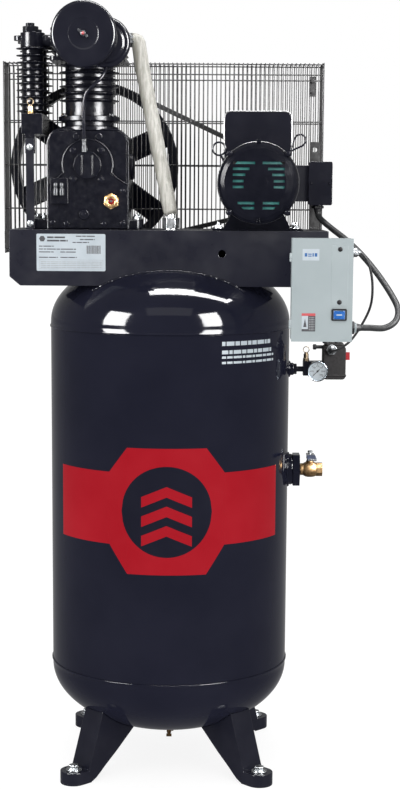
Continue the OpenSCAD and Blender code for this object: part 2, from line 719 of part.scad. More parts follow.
// ---------- pressure switch group ----------
module pressure_switch() color("#37383c") difference() {
    union() {
        box(switch_x0, switch_x1, -30, 30, 1005, 1091);
        box(switch_x0 + 4, switch_x1 - 4, -26, 26, 1091, 1097);
        rod_y(412, 1082, 9, -42, -30);
        rod_x(0, 1086, 5, 373, switch_x0);
    }
    rod_x(0, 1063, 3 + run_gap, switch_x1 - 8, switch_x1 + 1);
    rod_y(412, 1082, 4, -43, -28);
}
module switch_lever() color("#b3202a") {
    rod_x(0, 1063, 3, switch_x1 - 7, switch_x1 + 1);
    box(switch_x1 + 0.5, lever_right, -2.5, 2.5, 1053, 1073);
}
module manifold() color("#4a4b50") difference() {
    union() {
        hex_x(0, switch_port_z, 24, 318, 325);
        rod_x(0, switch_port_z, 6.9, 300, 342);
        box(341, switch_x0, -14, 14, 1013, 1050);
        rod_y(gauge_x, gauge_z, 6, -26, -14);
    }
    rod_x(0, switch_port_z, 4, 299, 380);
}
safety_at = [349, 0, 1050];
module safety_valve() translate(safety_at) pop_body();
module safety_ring() translate(safety_at) pop_ring();

module gauge_case() color("#cfd3d6") difference() {
    union() {
        rod_y(gauge_x, gauge_z, 26, -54, -30);
        rod_y(gauge_x, gauge_z, 13, -30, -26);
    }
    rod_y(gauge_x, gauge_z, 23.5, -55, -49);
    rod_y(gauge_x, gauge_z, 0.85, -50, -44);
}
// Needle at rest on the dial's lower left
module gauge_needle() color("#111111") translate([gauge_x, 0, gauge_z]) rotate([0, -135, 0]) {
    rod_y(0, 0, 0.8, -50, -45);
    rod_y(0, 0, 2.6, -51, -49.5);
    along_y(-50.6, -50) polygon([[-1.2, -7], [1.2, -7], [0.3, 18], [-0.3, 18]]);
}

// ---------- outlet and drain ----------
valve_x = 363;
ball_r = 14;
module ball_valve() color(brass) difference() {
    union() {
        rod_x(0, outlet_z, outlet_bore_r - 0.1, tank_r, 347);
        rod_x(0, outlet_z, 18, 346, 380);
        hex_x(0, outlet_z, 34, 380, 395);
        rod_z(valve_x, 0, 9, outlet_z, 805);
    }
    rod_x(0, outlet_z, 9, 299, 396);
    rod_x(0, outlet_z, 13, 381, 396);
    translate([valve_x, 0, outlet_z]) sphere(r = ball_r + run_gap);
    rod_z(valve_x, 0, 4 + run_gap, outlet_z, 806);
}
module ball_valve_handle() color(steel) {
    difference() {
        translate([valve_x, 0, outlet_z]) sphere(r = ball_r);
        rod_y(valve_x, outlet_z, 9, -16, 16);
    }
    rod_z(valve_x, 0, 4, outlet_z + ball_r - 2, 812);
    hex_z(valve_x, 0, 11, 812, 817);
    box(valve_x - 10, valve_x + 10, -24, 11, 806, 809);
    box(valve_x - 11, valve_x + 11, -105, -24, 805.5, 811);
}
module drain_valve() color(brass) difference() {
    union() {
        hex_z(0, 0, 14, drain_top - 10, drain_top);
        rod_z(0, 0, 6.9, drain_top, drain_top + 17);
        rod_z(0, 0, 6, 56, drain_top - 10);
        rod_x(0, 64, 3.5, 0, 12);
    }
    rod_z(0, 0, 3.5, 65, drain_top + 18);
    rod_z(0, 0, 2.5 + run_gap, 55, 66);
    rod_x(0, 64, 2, 0, 13);
}
module drain_handle() color(brass) {
    rod_z(0, 0, 2.5, 50, 61);
    rod_z(0, 0, 4.5, 49, 55.5);
    box(-7, 7, -1.2, 1.2, 45, 53);
}

// ---------- fasteners ----------
// Washer, hexagon head and shank, head up on the plane z = 0
module hex_bolt(af, shank_r, shank) {
    cylinder(r = af * 0.75, h = 2);
    translate([0, 0, 2]) cylinder(d = af / cos(30), h = af * 0.5, $fn = 6);
    translate([0, 0, -shank]) cylinder(r = shank_r, h = shank + 1);
}
module facing_front(x, y, z) translate([x, y, z]) rotate([90, 0, 0]) children();
module bolts() color(steel) {
    for (y = foot_bolt_y)
        for (side = [-1, 1]) translate([motor_x + side * foot_bolt_dx, y, deck_top + 5]) hex_bolt(15, 5, 20);
    for (p = case_bolts) translate([p[0], p[1], deck_top + ear_h]) hex_bolt(17, 5, 36);
    for (p = cover_bolts) facing_front(p[0], cover_front, p[1]) hex_bolt(10, 3, 5);
    facing_front(-343, -129, 1583) hex_bolt(10, 3, 4);
    facing_front(-343, -129, 1398) hex_bolt(10, 3, 4);
    for (x = [-278, -122], y = [-136, -44, 48]) translate([x, y, head_top]) hex_bolt(13, 4, 0);
    for (sx = [-1, 1], sz = [-1, 1])
        facing_front(motor_x + sx * tie_at, -232, motor_z + sz * tie_at) hex_bolt(8, 2.5, 0);
    facing_front(-209, cover_front, 1420) {
        cylinder(r = 12, h = 5);
        translate([0, 0, -9]) cylinder(r = 7.9, h = 10);
    }
}

// ---------- cords ----------
// Smooth curve through hand-set points; u runs 0 to 1 along one span
function curve(a, b, c, d, u) = 0.5 * (2 * b + (c - a) * u + (2 * a - 5 * b + 4 * c - d) * u * u
    + (3 * b - a - 3 * c + d) * u * u * u);
function span_points(p, steps) = [for (i = [1:len(p) - 3], s = [0:steps - 1])
    curve(p[i - 1], p[i], p[i + 1], p[i + 2], s / steps)];
function unit(v) = v / norm(v);
module tube_along(points, r, sides, first_dir, last_dir) {
    n = len(points);
    lean = unit([0.5, 1, 0.3]);
    rings = [for (i = [0:n - 1])
        let (t = i == 0 ? first_dir : i == n - 1 ? last_dir : unit(points[i + 1] - points[i - 1]),
            a = unit(cross(t, lean)), b = cross(t, a))
        [for (k = [0:sides - 1]) points[i] + r * (cos(360 * k / sides) * a + sin(360 * k / sides) * b)]];
    polyhedron(
        points = [for (ring = rings) each ring],
        faces = concat(
            [[for (k = [0:sides - 1]) k]],
            [[for (k = [0:sides - 1]) n * sides - 1 - k]],
            [for (i = [0:n - 2], k = [0:sides - 1]) let (k2 = (k + 1) % sides)
                each [[i * sides + k, (i + 1) * sides + k2, i * sides + k2],
                    [i * sides + k, (i + 1) * sides + k, (i + 1) * sides + k2]]]
        ),
        convexity = 6
    );
}
// Each route repeats its first and last straight step outside the drawn curve
conduit_r = 7.5;
conduit_route = [[372, -8, 1457], [372, -8, 1437], [376, -14, 1416], [402, -52, 1391], [436, -110, 1363],
    [469, -170, 1330], [502, -230, 1288], [532, -290, 1240], [546, -330, 1205], [538, -350, 1178],
    [512, -357, 1163], [476, -356, 1163], [446, -356, 1163], [426, -356, 1163]];
cable_r = 3;
cable_route = [[425, -356, 1339], [445, -356, 1339], [459, -355, 1334], [474, -346, 1310], [486, -312, 1264],
    [489, -250, 1210], [476, -180, 1160], [452, -120, 1112], [424, -84, 1087], [412, -60, 1082],
    [412, -42, 1082], [412, -30, 1082]];
module conduit() color("#2b2c2f")
    tube_along(concat(span_points(conduit_route, 3), [conduit_route[len(conduit_route) - 2]]),
        conduit_r, 12, [0, 0, -1], [-1, 0, 0]);
module control_cable() color("#2b2c2f")
    tube_along(concat(span_points(cable_route, 4), [cable_route[len(cable_route) - 2]]),
        cable_r, 8, [1, 0, 0], [0, 1, 0]);

// ---------- assembly ----------
placed() tank_shell();
placed() tank_top_head();
placed() tank_bottom_head();
placed() leg_front_left();
placed() leg_front_right();
placed() leg_rear_left();
placed() leg_rear_right();
placed() deck();
placed() deck_supports();
placed() crankcase();
placed() crankcase_cover();
placed() sight_glass();
placed() breather_tube();
placed() cylinder_block();
placed() cylinder_head();
placed() filter_base();
placed() filter_element();
placed() filter_cover();
placed() wing_nut();
placed() intercooler();
placed() intercooler_headers();
placed() relief_valve();
placed() relief_ring();
placed() intercooler_strap();
placed() discharge_pipe();
placed() discharge_sleeve();
placed() check_valve();
placed() crankshaft();
placed() piston_sets();
placed() bearings();
placed() flywheel();
placed() belts();
placed() motor_frame();
placed() motor_front_bell();
placed() motor_rear_bell();
placed() stator();
placed() rotor();
placed() motor_pulley();
placed() capacitor_cover();
placed() junction_box();
placed() guard_panels();
placed() guard_frame();
placed() starter_box();
placed() starter_door();
placed() reset_button();
placed() contactor();
placed() pressure_switch();
placed() switch_lever();
placed() manifold();
placed() safety_valve();
placed() safety_ring();
placed() gauge_case();
placed() gauge_needle();
placed() ball_valve();
placed() ball_valve_handle();
placed() drain_valve();
placed() drain_handle();
placed() bolts();
placed() conduit();
placed() control_cable();
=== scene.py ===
import math
import random

import bmesh
import bpy
from mathutils import Matrix, Vector


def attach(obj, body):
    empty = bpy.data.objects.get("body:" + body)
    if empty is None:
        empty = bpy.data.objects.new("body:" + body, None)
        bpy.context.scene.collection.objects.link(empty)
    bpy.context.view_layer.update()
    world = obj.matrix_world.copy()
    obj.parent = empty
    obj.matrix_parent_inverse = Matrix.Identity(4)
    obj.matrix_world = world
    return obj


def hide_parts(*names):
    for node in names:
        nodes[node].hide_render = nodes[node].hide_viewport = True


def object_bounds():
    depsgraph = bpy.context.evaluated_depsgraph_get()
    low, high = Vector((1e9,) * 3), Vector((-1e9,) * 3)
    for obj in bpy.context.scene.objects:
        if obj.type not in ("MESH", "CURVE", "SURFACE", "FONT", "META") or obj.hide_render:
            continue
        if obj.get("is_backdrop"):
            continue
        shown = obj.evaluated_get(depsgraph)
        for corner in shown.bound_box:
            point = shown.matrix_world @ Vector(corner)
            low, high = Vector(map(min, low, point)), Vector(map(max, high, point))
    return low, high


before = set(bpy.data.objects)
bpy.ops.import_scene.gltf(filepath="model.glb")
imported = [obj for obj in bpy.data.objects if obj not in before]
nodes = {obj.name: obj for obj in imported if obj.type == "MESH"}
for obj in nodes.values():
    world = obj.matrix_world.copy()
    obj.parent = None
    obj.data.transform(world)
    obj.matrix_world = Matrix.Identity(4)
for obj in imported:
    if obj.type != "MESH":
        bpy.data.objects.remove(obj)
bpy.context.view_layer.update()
random.seed(7)

# The design's own coordinates are millimetres from the tank's axis; the frame's origin is beside it.
AXIS_X, AXIS_Y = -0.0145, 0.05


def at(x, y, z):
    return Vector((x / 1000 + AXIS_X, y / 1000 + AXIS_Y, z / 1000))


# ---------------------------------------------------------------- camera
scene = bpy.context.scene
camera = bpy.data.objects.new("camera", bpy.data.cameras.new("camera"))
scene.collection.objects.link(camera)
scene.camera = camera
camera.data.sensor_fit = "VERTICAL"
camera.data.sensor_height = 36.0
camera.data.lens = 76.6
camera.data.shift_y = 0.0696
camera.data.clip_end = 60.0
camera.location = (0.0965, -4.259, 1.464)
camera.rotation_euler = (
    Matrix.Rotation(math.radians(0.44), 4, "Z")
    @ Matrix.Rotation(math.radians(90 - 8.55), 4, "X")
    @ Matrix.Rotation(math.radians(0.36), 4, "Z")
).to_euler()


# ---------------------------------------------------------------- materials
class Look:
    """A node material: one Principled shader with noise for its colour, gloss and relief."""

    def __init__(self, name, rough=0.4, metal=0.0, coat=0.0, specular=0.5):
        self.material = bpy.data.materials.new(name)
        self.material.use_nodes = True
        self.tree = self.material.node_tree
        self.shader = self.tree.nodes["Principled BSDF"]
        self.shader.inputs["Roughness"].default_value = rough
        self.shader.inputs["Metallic"].default_value = metal
        self.shader.inputs["Coat Weight"].default_value = coat
        self.shader.inputs["Specular IOR Level"].default_value = specular
        self.place = self.add("ShaderNodeTexCoord").outputs["Object"]
        self.height = None

    def add(self, kind, **values):
        node = self.tree.nodes.new(kind)
        for key, value in values.items():
            if key in node.inputs:
                node.inputs[key].default_value = value
            else:
                setattr(node, key, value)
        return node

    def link(self, source, target):
        self.tree.links.new(source, target)

    def noise(self, scale, detail=3.0, rough=0.55, stretch=None):
        node = self.add("ShaderNodeTexNoise", Scale=scale, Detail=detail, Roughness=rough)
        source = self.place
        if stretch:
            mapping = self.add("ShaderNodeMapping")
            mapping.inputs["Scale"].default_value = stretch
            self.link(source, mapping.inputs["Vector"])
            source = mapping.outputs["Vector"]
        self.link(source, node.inputs["Vector"])
        return node.outputs["Fac"]

    def ramp(self, factor, stops):
        node = self.add("ShaderNodeValToRGB")
        element = node.color_ramp.elements
        while len(element) < len(stops):
            element.new(0.5)
        for e, (position, colour) in zip(element, stops):
            e.position = position
            e.color = (*colour, 1.0)
        self.link(factor, node.inputs["Fac"])
        return node.outputs["Color"]

    def colour(self, dark, light, scale, low=0.35, high=0.65, stretch=None):
        noise = self.noise(scale, stretch=stretch)
        result = self.ramp(noise, [(low, dark), (high, light)])
        self.link(result, self.shader.inputs["Base Color"])
        return result

    def gloss(self, low, high, scale, stretch=None):
        node = self.add("ShaderNodeMapRange")
        node.inputs["From Min"].default_value = 0.3
        node.inputs["From Max"].default_value = 0.7
        node.inputs["To Min"].default_value = low
        node.inputs["To Max"].default_value = high
        self.link(self.noise(scale, stretch=stretch), node.inputs["Value"])
        self.link(node.outputs["Result"], self.shader.inputs["Roughness"])

    def relief(self, source, depth, strength=1.0):
        node = self.add("ShaderNodeBump", Strength=strength, Distance=depth)
        self.link(source, node.inputs["Height"])
        if self.height:
            self.link(self.height, node.inputs["Normal"])
        self.height = node.outputs["Normal"]
        self.link(self.height, self.shader.inputs["Normal"])


def painted(name, dark, light, rough, peel=0.0001, peel_scale=160, coat=0.0, grain=0.0, grain_scale=900,
            spread=14, specular=0.2):
    look = Look(name, rough[0], coat=coat, specular=specular)
    look.colour(dark, light, spread)
    look.gloss(rough[0], rough[1], spread * 2)
    if peel:
        look.relief(look.noise(peel_scale, 2.0), peel)
    if grain:
        look.relief(look.noise(grain_scale, 4.0, 0.65), grain)
    return look.material


def metal(name, dark, light, rough, scale=60, brushed=None, grain=0.0, grain_scale=900):
    look = Look(name, rough[0], metal=1.0)
    look.colour(dark, light, scale, stretch=brushed)
    look.gloss(rough[0], rough[1], scale * 1.7, stretch=brushed)
    if grain:
        look.relief(look.noise(grain_scale, 3.0), grain)
    return look.material


tank_black = painted("tank_black", (0.0105, 0.0112, 0.0215), (0.0135, 0.0142, 0.026), (0.05, 0.09),
                     peel=0.00004, peel_scale=120, spread=5, specular=0.11)
sheet_black = painted("sheet_black", (0.0125, 0.013, 0.0235), (0.016, 0.0165, 0.028), (0.26, 0.38),
                      peel=0.00008, peel_scale=420, spread=9, specular=0.11)
gloss_black = painted("gloss_black", (0.0105, 0.011, 0.0195), (0.0145, 0.015, 0.025), (0.12, 0.2),
                      peel=0.00008, peel_scale=260, spread=12, specular=0.16)
cast_black = painted("cast_black", (0.0065, 0.007, 0.013), (0.0115, 0.012, 0.0195), (0.14, 0.28),
                     peel=0.0004, peel_scale=95, grain=0.0002, grain_scale=520, spread=40, specular=0.12)
motor_black = painted("motor_black", (0.0075, 0.008, 0.0135), (0.0115, 0.012, 0.019), (0.12, 0.2),
                      peel=0.0001, peel_scale=300, spread=22, specular=0.05)
rim_black = painted("rim_black", (0.011, 0.0115, 0.0165), (0.016, 0.0165, 0.023), (0.3, 0.4),
                    peel=0.00005, peel_scale=300, spread=22, specular=1.0)
wire_black = painted("wire_black", (0.012, 0.011, 0.013), (0.022, 0.02, 0.023), (0.3, 0.45),
                     peel=0.00005, peel_scale=700, spread=60)
plastic_black = painted("plastic_black", (0.016, 0.016, 0.019), (0.026, 0.026, 0.031), (0.45, 0.6),
                        peel=0.00012, peel_scale=800, spread=120, specular=0.12)
screw_black = painted("screw_black", (0.008, 0.008, 0.01), (0.016, 0.016, 0.019), (0.5, 0.65),
                      peel=0.00008, peel_scale=800, spread=120, specular=0.05)
grained_black = painted("grained_black", (0.011, 0.009, 0.01), (0.02, 0.017, 0.018), (0.55, 0.7),
                        peel=0.0005, peel_scale=650, spread=150, specular=0.08)
rubber_black = painted("rubber_black", (0.016, 0.016, 0.018), (0.03, 0.03, 0.033), (0.6, 0.8),
                       peel=0.00015, peel_scale=500, spread=80)
jacket = painted("jacket", (0.03, 0.031, 0.033), (0.045, 0.046, 0.049), (0.42, 0.55),
                 peel=0.0001, peel_scale=260, spread=40, specular=0.1)
enamel = painted("enamel", (0.365, 0.42, 0.435), (0.39, 0.445, 0.46), (0.34, 0.46),
                 peel=0.00007, peel_scale=380, spread=8, specular=0.12)
band_red = painted("band_red", (0.35, 0.008, 0.016), (0.385, 0.011, 0.02), (0.12, 0.2),
                   peel=0.00003, peel_scale=200, spread=6, specular=0.06)
band_dark = painted("band_dark", (0.0105, 0.011, 0.0205), (0.0135, 0.014, 0.025), (0.12, 0.2),
                    peel=0.00003, peel_scale=200, spread=6, specular=0.08)
label_white = painted("label_white", (0.48, 0.54, 0.59), (0.52, 0.58, 0.63), (0.35, 0.5),
                      peel=0.00002, peel_scale=300, spread=30)
print_dark = painted("print_dark", (0.03, 0.03, 0.04), (0.07, 0.07, 0.08), (0.4, 0.5),
                     peel=0.00001, peel_scale=900, spread=400)
print_grey = painted("print_grey", (0.3, 0.32, 0.34), (0.42, 0.44, 0.46), (0.4, 0.5),
                     peel=0.00001, peel_scale=900, spread=300)
print_blue = painted("print_blue", (0.01, 0.1, 0.32), (0.02, 0.14, 0.4), (0.35, 0.45),
                     peel=0.00001, peel_scale=900, spread=200)
print_red = painted("print_red", (0.55, 0.06, 0.07), (0.62, 0.09, 0.1), (0.35, 0.45),
                    peel=0.00001, peel_scale=900, spread=200)
button_blue = painted("button_blue", (0.008, 0.1, 0.4), (0.012, 0.14, 0.5), (0.22, 0.32),
                      peel=0.00004, peel_scale=500, spread=60)
lever_red = painted("lever_red", (0.5, 0.012, 0.02), (0.6, 0.02, 0.03), (0.25, 0.35),
                    peel=0.00005, peel_scale=500, spread=80)
teal = painted("teal", (0.006, 0.15, 0.14), (0.012, 0.24, 0.22), (0.3, 0.45),
               peel=0.0001, peel_scale=400, spread=30)
lens_red = painted("lens_red", (0.16, 0.006, 0.008), (0.3, 0.012, 0.014), (0.08, 0.14),
                   peel=0.00002, peel_scale=300, spread=120)
handle_blue = painted("handle_blue", (0.012, 0.035, 0.14), (0.02, 0.055, 0.2), (0.3, 0.4),
                      peel=0.0001, peel_scale=400, spread=90)
dial_white = painted("dial_white", (0.5, 0.55, 0.58), (0.56, 0.61, 0.64), (0.3, 0.4),
                     peel=0.00001, peel_scale=300, spread=60, specular=0.1)
paper = painted("paper", (0.6, 0.54, 0.4), (0.72, 0.66, 0.52), (0.7, 0.85),
                peel=0.0003, peel_scale=420, spread=60)
zinc = metal("zinc", (0.12, 0.125, 0.13), (0.3, 0.31, 0.32), (0.24, 0.4), scale=90,
             grain=0.00006, grain_scale=1200)
dull_steel = metal("dull_steel", (0.045, 0.047, 0.05), (0.13, 0.135, 0.14), (0.34, 0.5), scale=90,
                   grain=0.00008, grain_scale=900)
grey_cap = painted("grey_cap", (0.03, 0.034, 0.042), (0.06, 0.066, 0.078), (0.3, 0.45),
                   peel=0.0001, peel_scale=600, spread=90, specular=0.2)
steel = metal("steel", (0.4, 0.4, 0.41), (0.58, 0.58, 0.6), (0.22, 0.36), scale=70, brushed=(1, 1, 9))
chrome = metal("chrome", (0.1, 0.115, 0.13), (0.2, 0.22, 0.245), (0.14, 0.24), scale=40)
brass = metal("brass", (0.12, 0.072, 0.034), (0.27, 0.175, 0.09), (0.34, 0.5), scale=110,
              grain=0.0002, grain_scale=700)
brass_bright = metal("brass_bright", (0.36, 0.225, 0.1), (0.56, 0.38, 0.19), (0.22, 0.34), scale=80)
brass_dark = metal("brass_dark", (0.05, 0.04, 0.03), (0.12, 0.09, 0.055), (0.35, 0.5), scale=110,
                   grain=0.0002, grain_scale=700)
copper = metal("copper", (0.26, 0.11, 0.05), (0.5, 0.24, 0.12), (0.35, 0.55), scale=200,
               brushed=(1, 14, 1))


def woven(name, dark, light):
    """Glass-cloth sleeve: two crossing fine waves over broad stains."""
    look = Look(name, 0.75)
    base = look.ramp(look.noise(140, 4.0, stretch=(1, 1, 0.06)), [(0.36, dark), (0.6, light)])
    weave = look.add("ShaderNodeTexWave", Scale=330, Distortion=1.5, Detail=2.0)
    weave.bands_direction = "DIAGONAL"
    look.link(look.place, weave.inputs["Vector"])
    across = look.add("ShaderNodeTexWave", Scale=300, Distortion=1.5, Detail=2.0)
    across.bands_direction = "Z"
    look.link(look.place, across.inputs["Vector"])
    mix = look.add("ShaderNodeMix", data_type="RGBA", blend_type="MULTIPLY")
    mix.inputs["Factor"].default_value = 0.22
    look.link(base, mix.inputs["A"])
    look.link(weave.outputs["Color"], mix.inputs["B"])
    look.link(mix.outputs["Result"], look.shader.inputs["Base Color"])
    look.shader.inputs["Sheen Weight"].default_value = 0.25
    look.relief(look.noise(90, 2.0, stretch=(1, 1, 0.05)), 0.0009)
    look.relief(weave.outputs["Fac"], 0.00035)
    look.relief(across.outputs["Fac"], 0.00025)
    return look.material


sleeve_cloth = woven("sleeve_cloth", (0.36, 0.34, 0.265), (0.68, 0.66, 0.58))


# ---------------------------------------------------------------- mesh tools
AXES = {
    "x": lambda u, v, t: (t, u, v),
    "y": lambda u, v, t: (u, t, v),
    "z": lambda u, v, t: (u, v, t),
}


def disc_points(cu, cv, r, count, turn=0.0):
    return [
        (cu + r * math.cos(turn + 2 * math.pi * i / count), cv + r * math.sin(turn + 2 * math.pi * i / count))
        for i in range(count)
    ]


def rounded(u0, u1, v0, v1, r, steps=5):
    """Outline of a rectangle with rounded corners."""
    points = []
    corners = ((u1 - r, v1 - r, 0), (u0 + r, v1 - r, 90), (u0 + r, v0 + r, 180), (u1 - r, v0 + r, 270))
    for cu, cv, start in corners:
        for i in range(steps + 1):
            angle = math.radians(start + 90 * i / steps)
            points.append((cu + r * math.cos(angle), cv + r * math.sin(angle)))
    return points


def smooth_line(points, steps):
    """Points along a smooth curve through all but the first and last, which only set its ends' direction."""
    points = [Vector(p) for p in points]
    line = []
    for a, b, c, d in zip(points, points[1:], points[2:], points[3:]):
        for i in range(steps):
            t = i / steps
            line.append(0.5 * (2 * b + (c - a) * t + (2 * a - 5 * b + 4 * c - d) * t**2
                               + (3 * b - a - 3 * c + d) * t**3))
    return line + [points[-2]]


def ring_faces(size, starts, wrap):
    """Quads from the ring at each of starts to the next; of wrap points in all, the last joins the first."""
    faces = []
    for a in starts:
        b = (a + size) % wrap
        faces += [[a + k, a + (k + 1) % size, b + (k + 1) % size, b + k] for k in range(size)]
    return faces


class Shape:
    """Collects closed surfaces in design millimetres and turns them into one piece."""

    def __init__(self):
        self.bm = bmesh.new()
        self.slot = 0

    def mesh(self, points, faces):
        made = [self.bm.verts.new(at(*p)) for p in points]
        for face in faces:
            f = self.bm.faces.new([made[i] for i in face])
            f.smooth = True
            f.material_index = self.slot
        return self

    def prism(self, axis, outline, t0, t1):
        n = len(outline)
        put = AXES[axis]
        points = [put(u, v, t) for t in (t0, t1) for u, v in outline]
        faces = [[i, (i + 1) % n, n + (i + 1) % n, n + i] for i in range(n)]
        faces += [list(range(n))[::-1], list(range(n, 2 * n))]
        return self.mesh(points, faces)

    def loft(self, rings, closed=False):
        """Joins rings of points in order; a closed loft joins the last to the first, an open one is capped."""
        n, size = len(rings), len(rings[0])
        faces = [] if closed else [list(range(size))[::-1], list(range((n - 1) * size, n * size))]
        faces += ring_faces(size, range(0, (n if closed else n - 1) * size, size), wrap=n * size)
        return self.mesh([p for ring in rings for p in ring], faces)

    def box(self, x0, x1, y0, y1, z0, z1):
        return self.prism("z", [(x0, y0), (x1, y0), (x1, y1), (x0, y1)], z0, z1)

    def shift(self, x, y, z):
        step = Vector((x, y, z)) / 1000
        for v in self.bm.verts:
            v.co += step

    def hexagon(self, axis, cu, cv, across, t0, t1, turn=0.0):
        return self.prism(axis, disc_points(cu, cv, across / 2 / math.cos(math.pi / 6), 6, turn), t0, t1)

    def lathe(self, axis, cu, cv, profile, count=48, closed=False):
        """Turns (radius, way along) points about an axis; a radius of 0 becomes one point."""
        put = AXES[axis]
        points, rings = [], []
        for r, t in profile:
            if r == 0:
                rings.append([len(points)] * count)
                points.append(put(cu, cv, t))
            else:
                rings.append(list(range(len(points), len(points) + count)))
                points += [put(u, v, t) for u, v in disc_points(cu, cv, r, count)]
        faces = []
        pairs = list(zip(rings, rings[1:] + rings[:1])) if closed else list(zip(rings, rings[1:]))
        for a, b in pairs:
            for i in range(count):
                j = (i + 1) % count
                face = [a[i], a[j], b[j], b[i]]
                face = [k for n, k in enumerate(face) if k not in face[:n]]
                if len(face) > 2:
                    faces.append(face)
        return self.mesh(points, faces)

    def tube(self, route, r, sides=10, closed=False, wobble=None):
        """A round bar along a route, its rings turned with the route; wobble(i, angle) changes r."""
        route = [Vector(p) for p in route]
        n = len(route)
        points, side = [], None
        for i, p in enumerate(route):
            before = route[(i - 1) % n] if closed or i else p
            after = route[(i + 1) % n] if closed or i < n - 1 else p
            along = (after - before).normalized()
            if side is None:
                side = along.orthogonal().normalized()
            side = (side - along * side.dot(along)).normalized()
            other = along.cross(side)
            for k in range(sides):
                angle = 2 * math.pi * k / sides
                size = wobble(i, angle) if wobble else r
                points.append(tuple(p + size * (math.cos(angle) * side + math.sin(angle) * other)))
        faces = ring_faces(sides, range(0, (n if closed else n - 1) * sides, sides), wrap=n * sides)
        if not closed:
            faces += [list(range(sides))[::-1], list(range((n - 1) * sides, n * sides))]
        return self.mesh(points, faces)

    def ring(self, centre, r, wire, axis="y", count=28, sides=8):
        put = AXES[axis]
        cu, cv, t = centre
        return self.tube([put(u, v, t) for u, v in disc_points(cu, cv, r, count)], wire, sides, closed=True)

    def bolt(self, axis, cu, cv, base, way, across, turn=0.3, washer=True):
        """A hex head with a washer and a low crown, standing on base and pointing along way (+1 or -1)."""
        h = across * 0.42
        if washer:
            self.lathe(axis, cu, cv, [(0, base), (across * 0.78, base), (across * 0.78, base + way * 1.6),
                                      (0, base + way * 1.6)], 24)
            base += way * 1.6
        outline = disc_points(cu, cv, across / 2 / math.cos(math.pi / 6), 6, turn)
        crown = disc_points(cu, cv, across * 0.46, 6, turn)
        put = AXES[axis]
        return self.loft([[put(u, v, base) for u, v in outline],
                          [put(u, v, base + way * h * 0.86) for u, v in outline],
                          [put(u, v, base + way * h) for u, v in crown]])

    def make(self, name, body, materials, bevel=0.0, replaces=(), angle=38, segments=2):
        bmesh.ops.recalc_face_normals(self.bm, faces=self.bm.faces)
        mesh = bpy.data.meshes.new(name)
        self.bm.to_mesh(mesh)
        self.bm.free()
        piece = bpy.data.objects.new(name, mesh)
        scene.collection.objects.link(piece)
        for m in materials if isinstance(materials, (list, tuple)) else [materials]:
            mesh.materials.append(m)
        soften(piece, bevel, angle, segments)
        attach(piece, body)
        if replaces:
            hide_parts(*replaces)
        return piece


def soften(piece, bevel, angle=38, segments=2):
    """Rounds the sharp edges by bevel millimetres and evens the shading."""
    if bevel:
        m = piece.modifiers.new("edges", "BEVEL")
        m.width = bevel / 1000
        m.segments = segments
        m.limit_method = "ANGLE"
        m.angle_limit = math.radians(angle)
        m.use_clamp_overlap = False
        m.miter_outer = "MITER_ARC"
    m = piece.modifiers.new("shading", "WEIGHTED_NORMAL")
    m.keep_sharp = True
    m.weight = 60


def dress(names, look, bevel=0.0, angle=38):
    """Gives CAD nodes a material, and rounds their edges."""
    for name in names:
        piece = nodes[name]
        piece.data.materials.clear()
        piece.data.materials.append(look)
        if bevel:
            weld = piece.modifiers.new("weld", "WELD")
            weld.merge_threshold = 0.00002
            flat = piece.modifiers.new("flat", "DECIMATE")
            flat.decimate_type = "DISSOLVE"
            flat.angle_limit = math.radians(0.4)
            piece.data.shade_smooth()
            soften(piece, bevel, angle)


STATIC = "compressor"

# ---------------------------------------------------------------- cords
CONDUIT = [(372, -8, 1437), (376, -14, 1416), (402, -52, 1391), (436, -110, 1363), (469, -170, 1330),
           (502, -230, 1288), (532, -290, 1240), (546, -330, 1205), (538, -350, 1178), (512, -357, 1163),
           (476, -356, 1163), (446, -356, 1163)]
CABLE = [(445, -356, 1339), (459, -355, 1334), (474, -346, 1310), (486, -312, 1264), (489, -250, 1210),
         (476, -180, 1160), (452, -120, 1112), (424, -84, 1087), (412, -60, 1082), (412, -42, 1082)]


def cord(name, route, diameter, before, after, look, node):
    """A smooth curve through the route; before and after set the way it leaves its two ends."""
    curve = bpy.data.curves.new(name, "CURVE")
    curve.dimensions = "3D"
    curve.bevel_depth = diameter / 2000
    curve.bevel_resolution = 6
    curve.use_fill_caps = True
    line = smooth_line([before, *route, after], 8)
    spline = curve.splines.new("POLY")
    spline.points.add(len(line) - 1)
    for target, p in zip(spline.points, line):
        target.co = (*at(*p), 1.0)
    spline.use_smooth = True
    piece = bpy.data.objects.new(name, curve)
    scene.collection.objects.link(piece)
    curve.materials.append(look)
    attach(piece, STATIC)
    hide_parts(node)
    return piece


cord("motor_conduit", CONDUIT, 15, (372, -8, 1457), (426, -356, 1163), jacket, "conduit")
cord("switch_cable", CABLE, 6, (425, -356, 1339), (412, -30, 1082), rubber_black, "control_cable")

fittings = Shape()
fittings.lathe("z", 372, -8, [(0, 1449), (14, 1449), (14, 1446), (12, 1445.5), (12, 1441), (10.5, 1440),
                              (8.6, 1430), (7.7, 1427), (0, 1427)], 32)
fittings.hexagon("z", 372, -8, 27, 1438, 1444)
fittings.lathe("x", -356, 1163, [(0, 431.5), (16, 431.5), (16, 434), (14, 435), (14, 440), (11.5, 441.5),
                                 (9.5, 450), (7.8, 456), (0, 456)], 32)
fittings.hexagon("x", -356, 1163, 29, 436, 441)
fittings.make("conduit_fittings", STATIC, plastic_black, bevel=0.5)
grips = Shape()
grips.lathe("x", -356, 1339, [(0, 431.5), (14, 431.5), (15, 433), (15, 436), (11, 437), (11, 444), (9, 446),
                              (6, 451), (3.4, 454), (0, 454)], 32)
grips.box(437, 447, -369, -343, 1333, 1337)
for y in (-364, -348):
    grips.bolt("z", 442, y, 1337, 1, 7, washer=False)
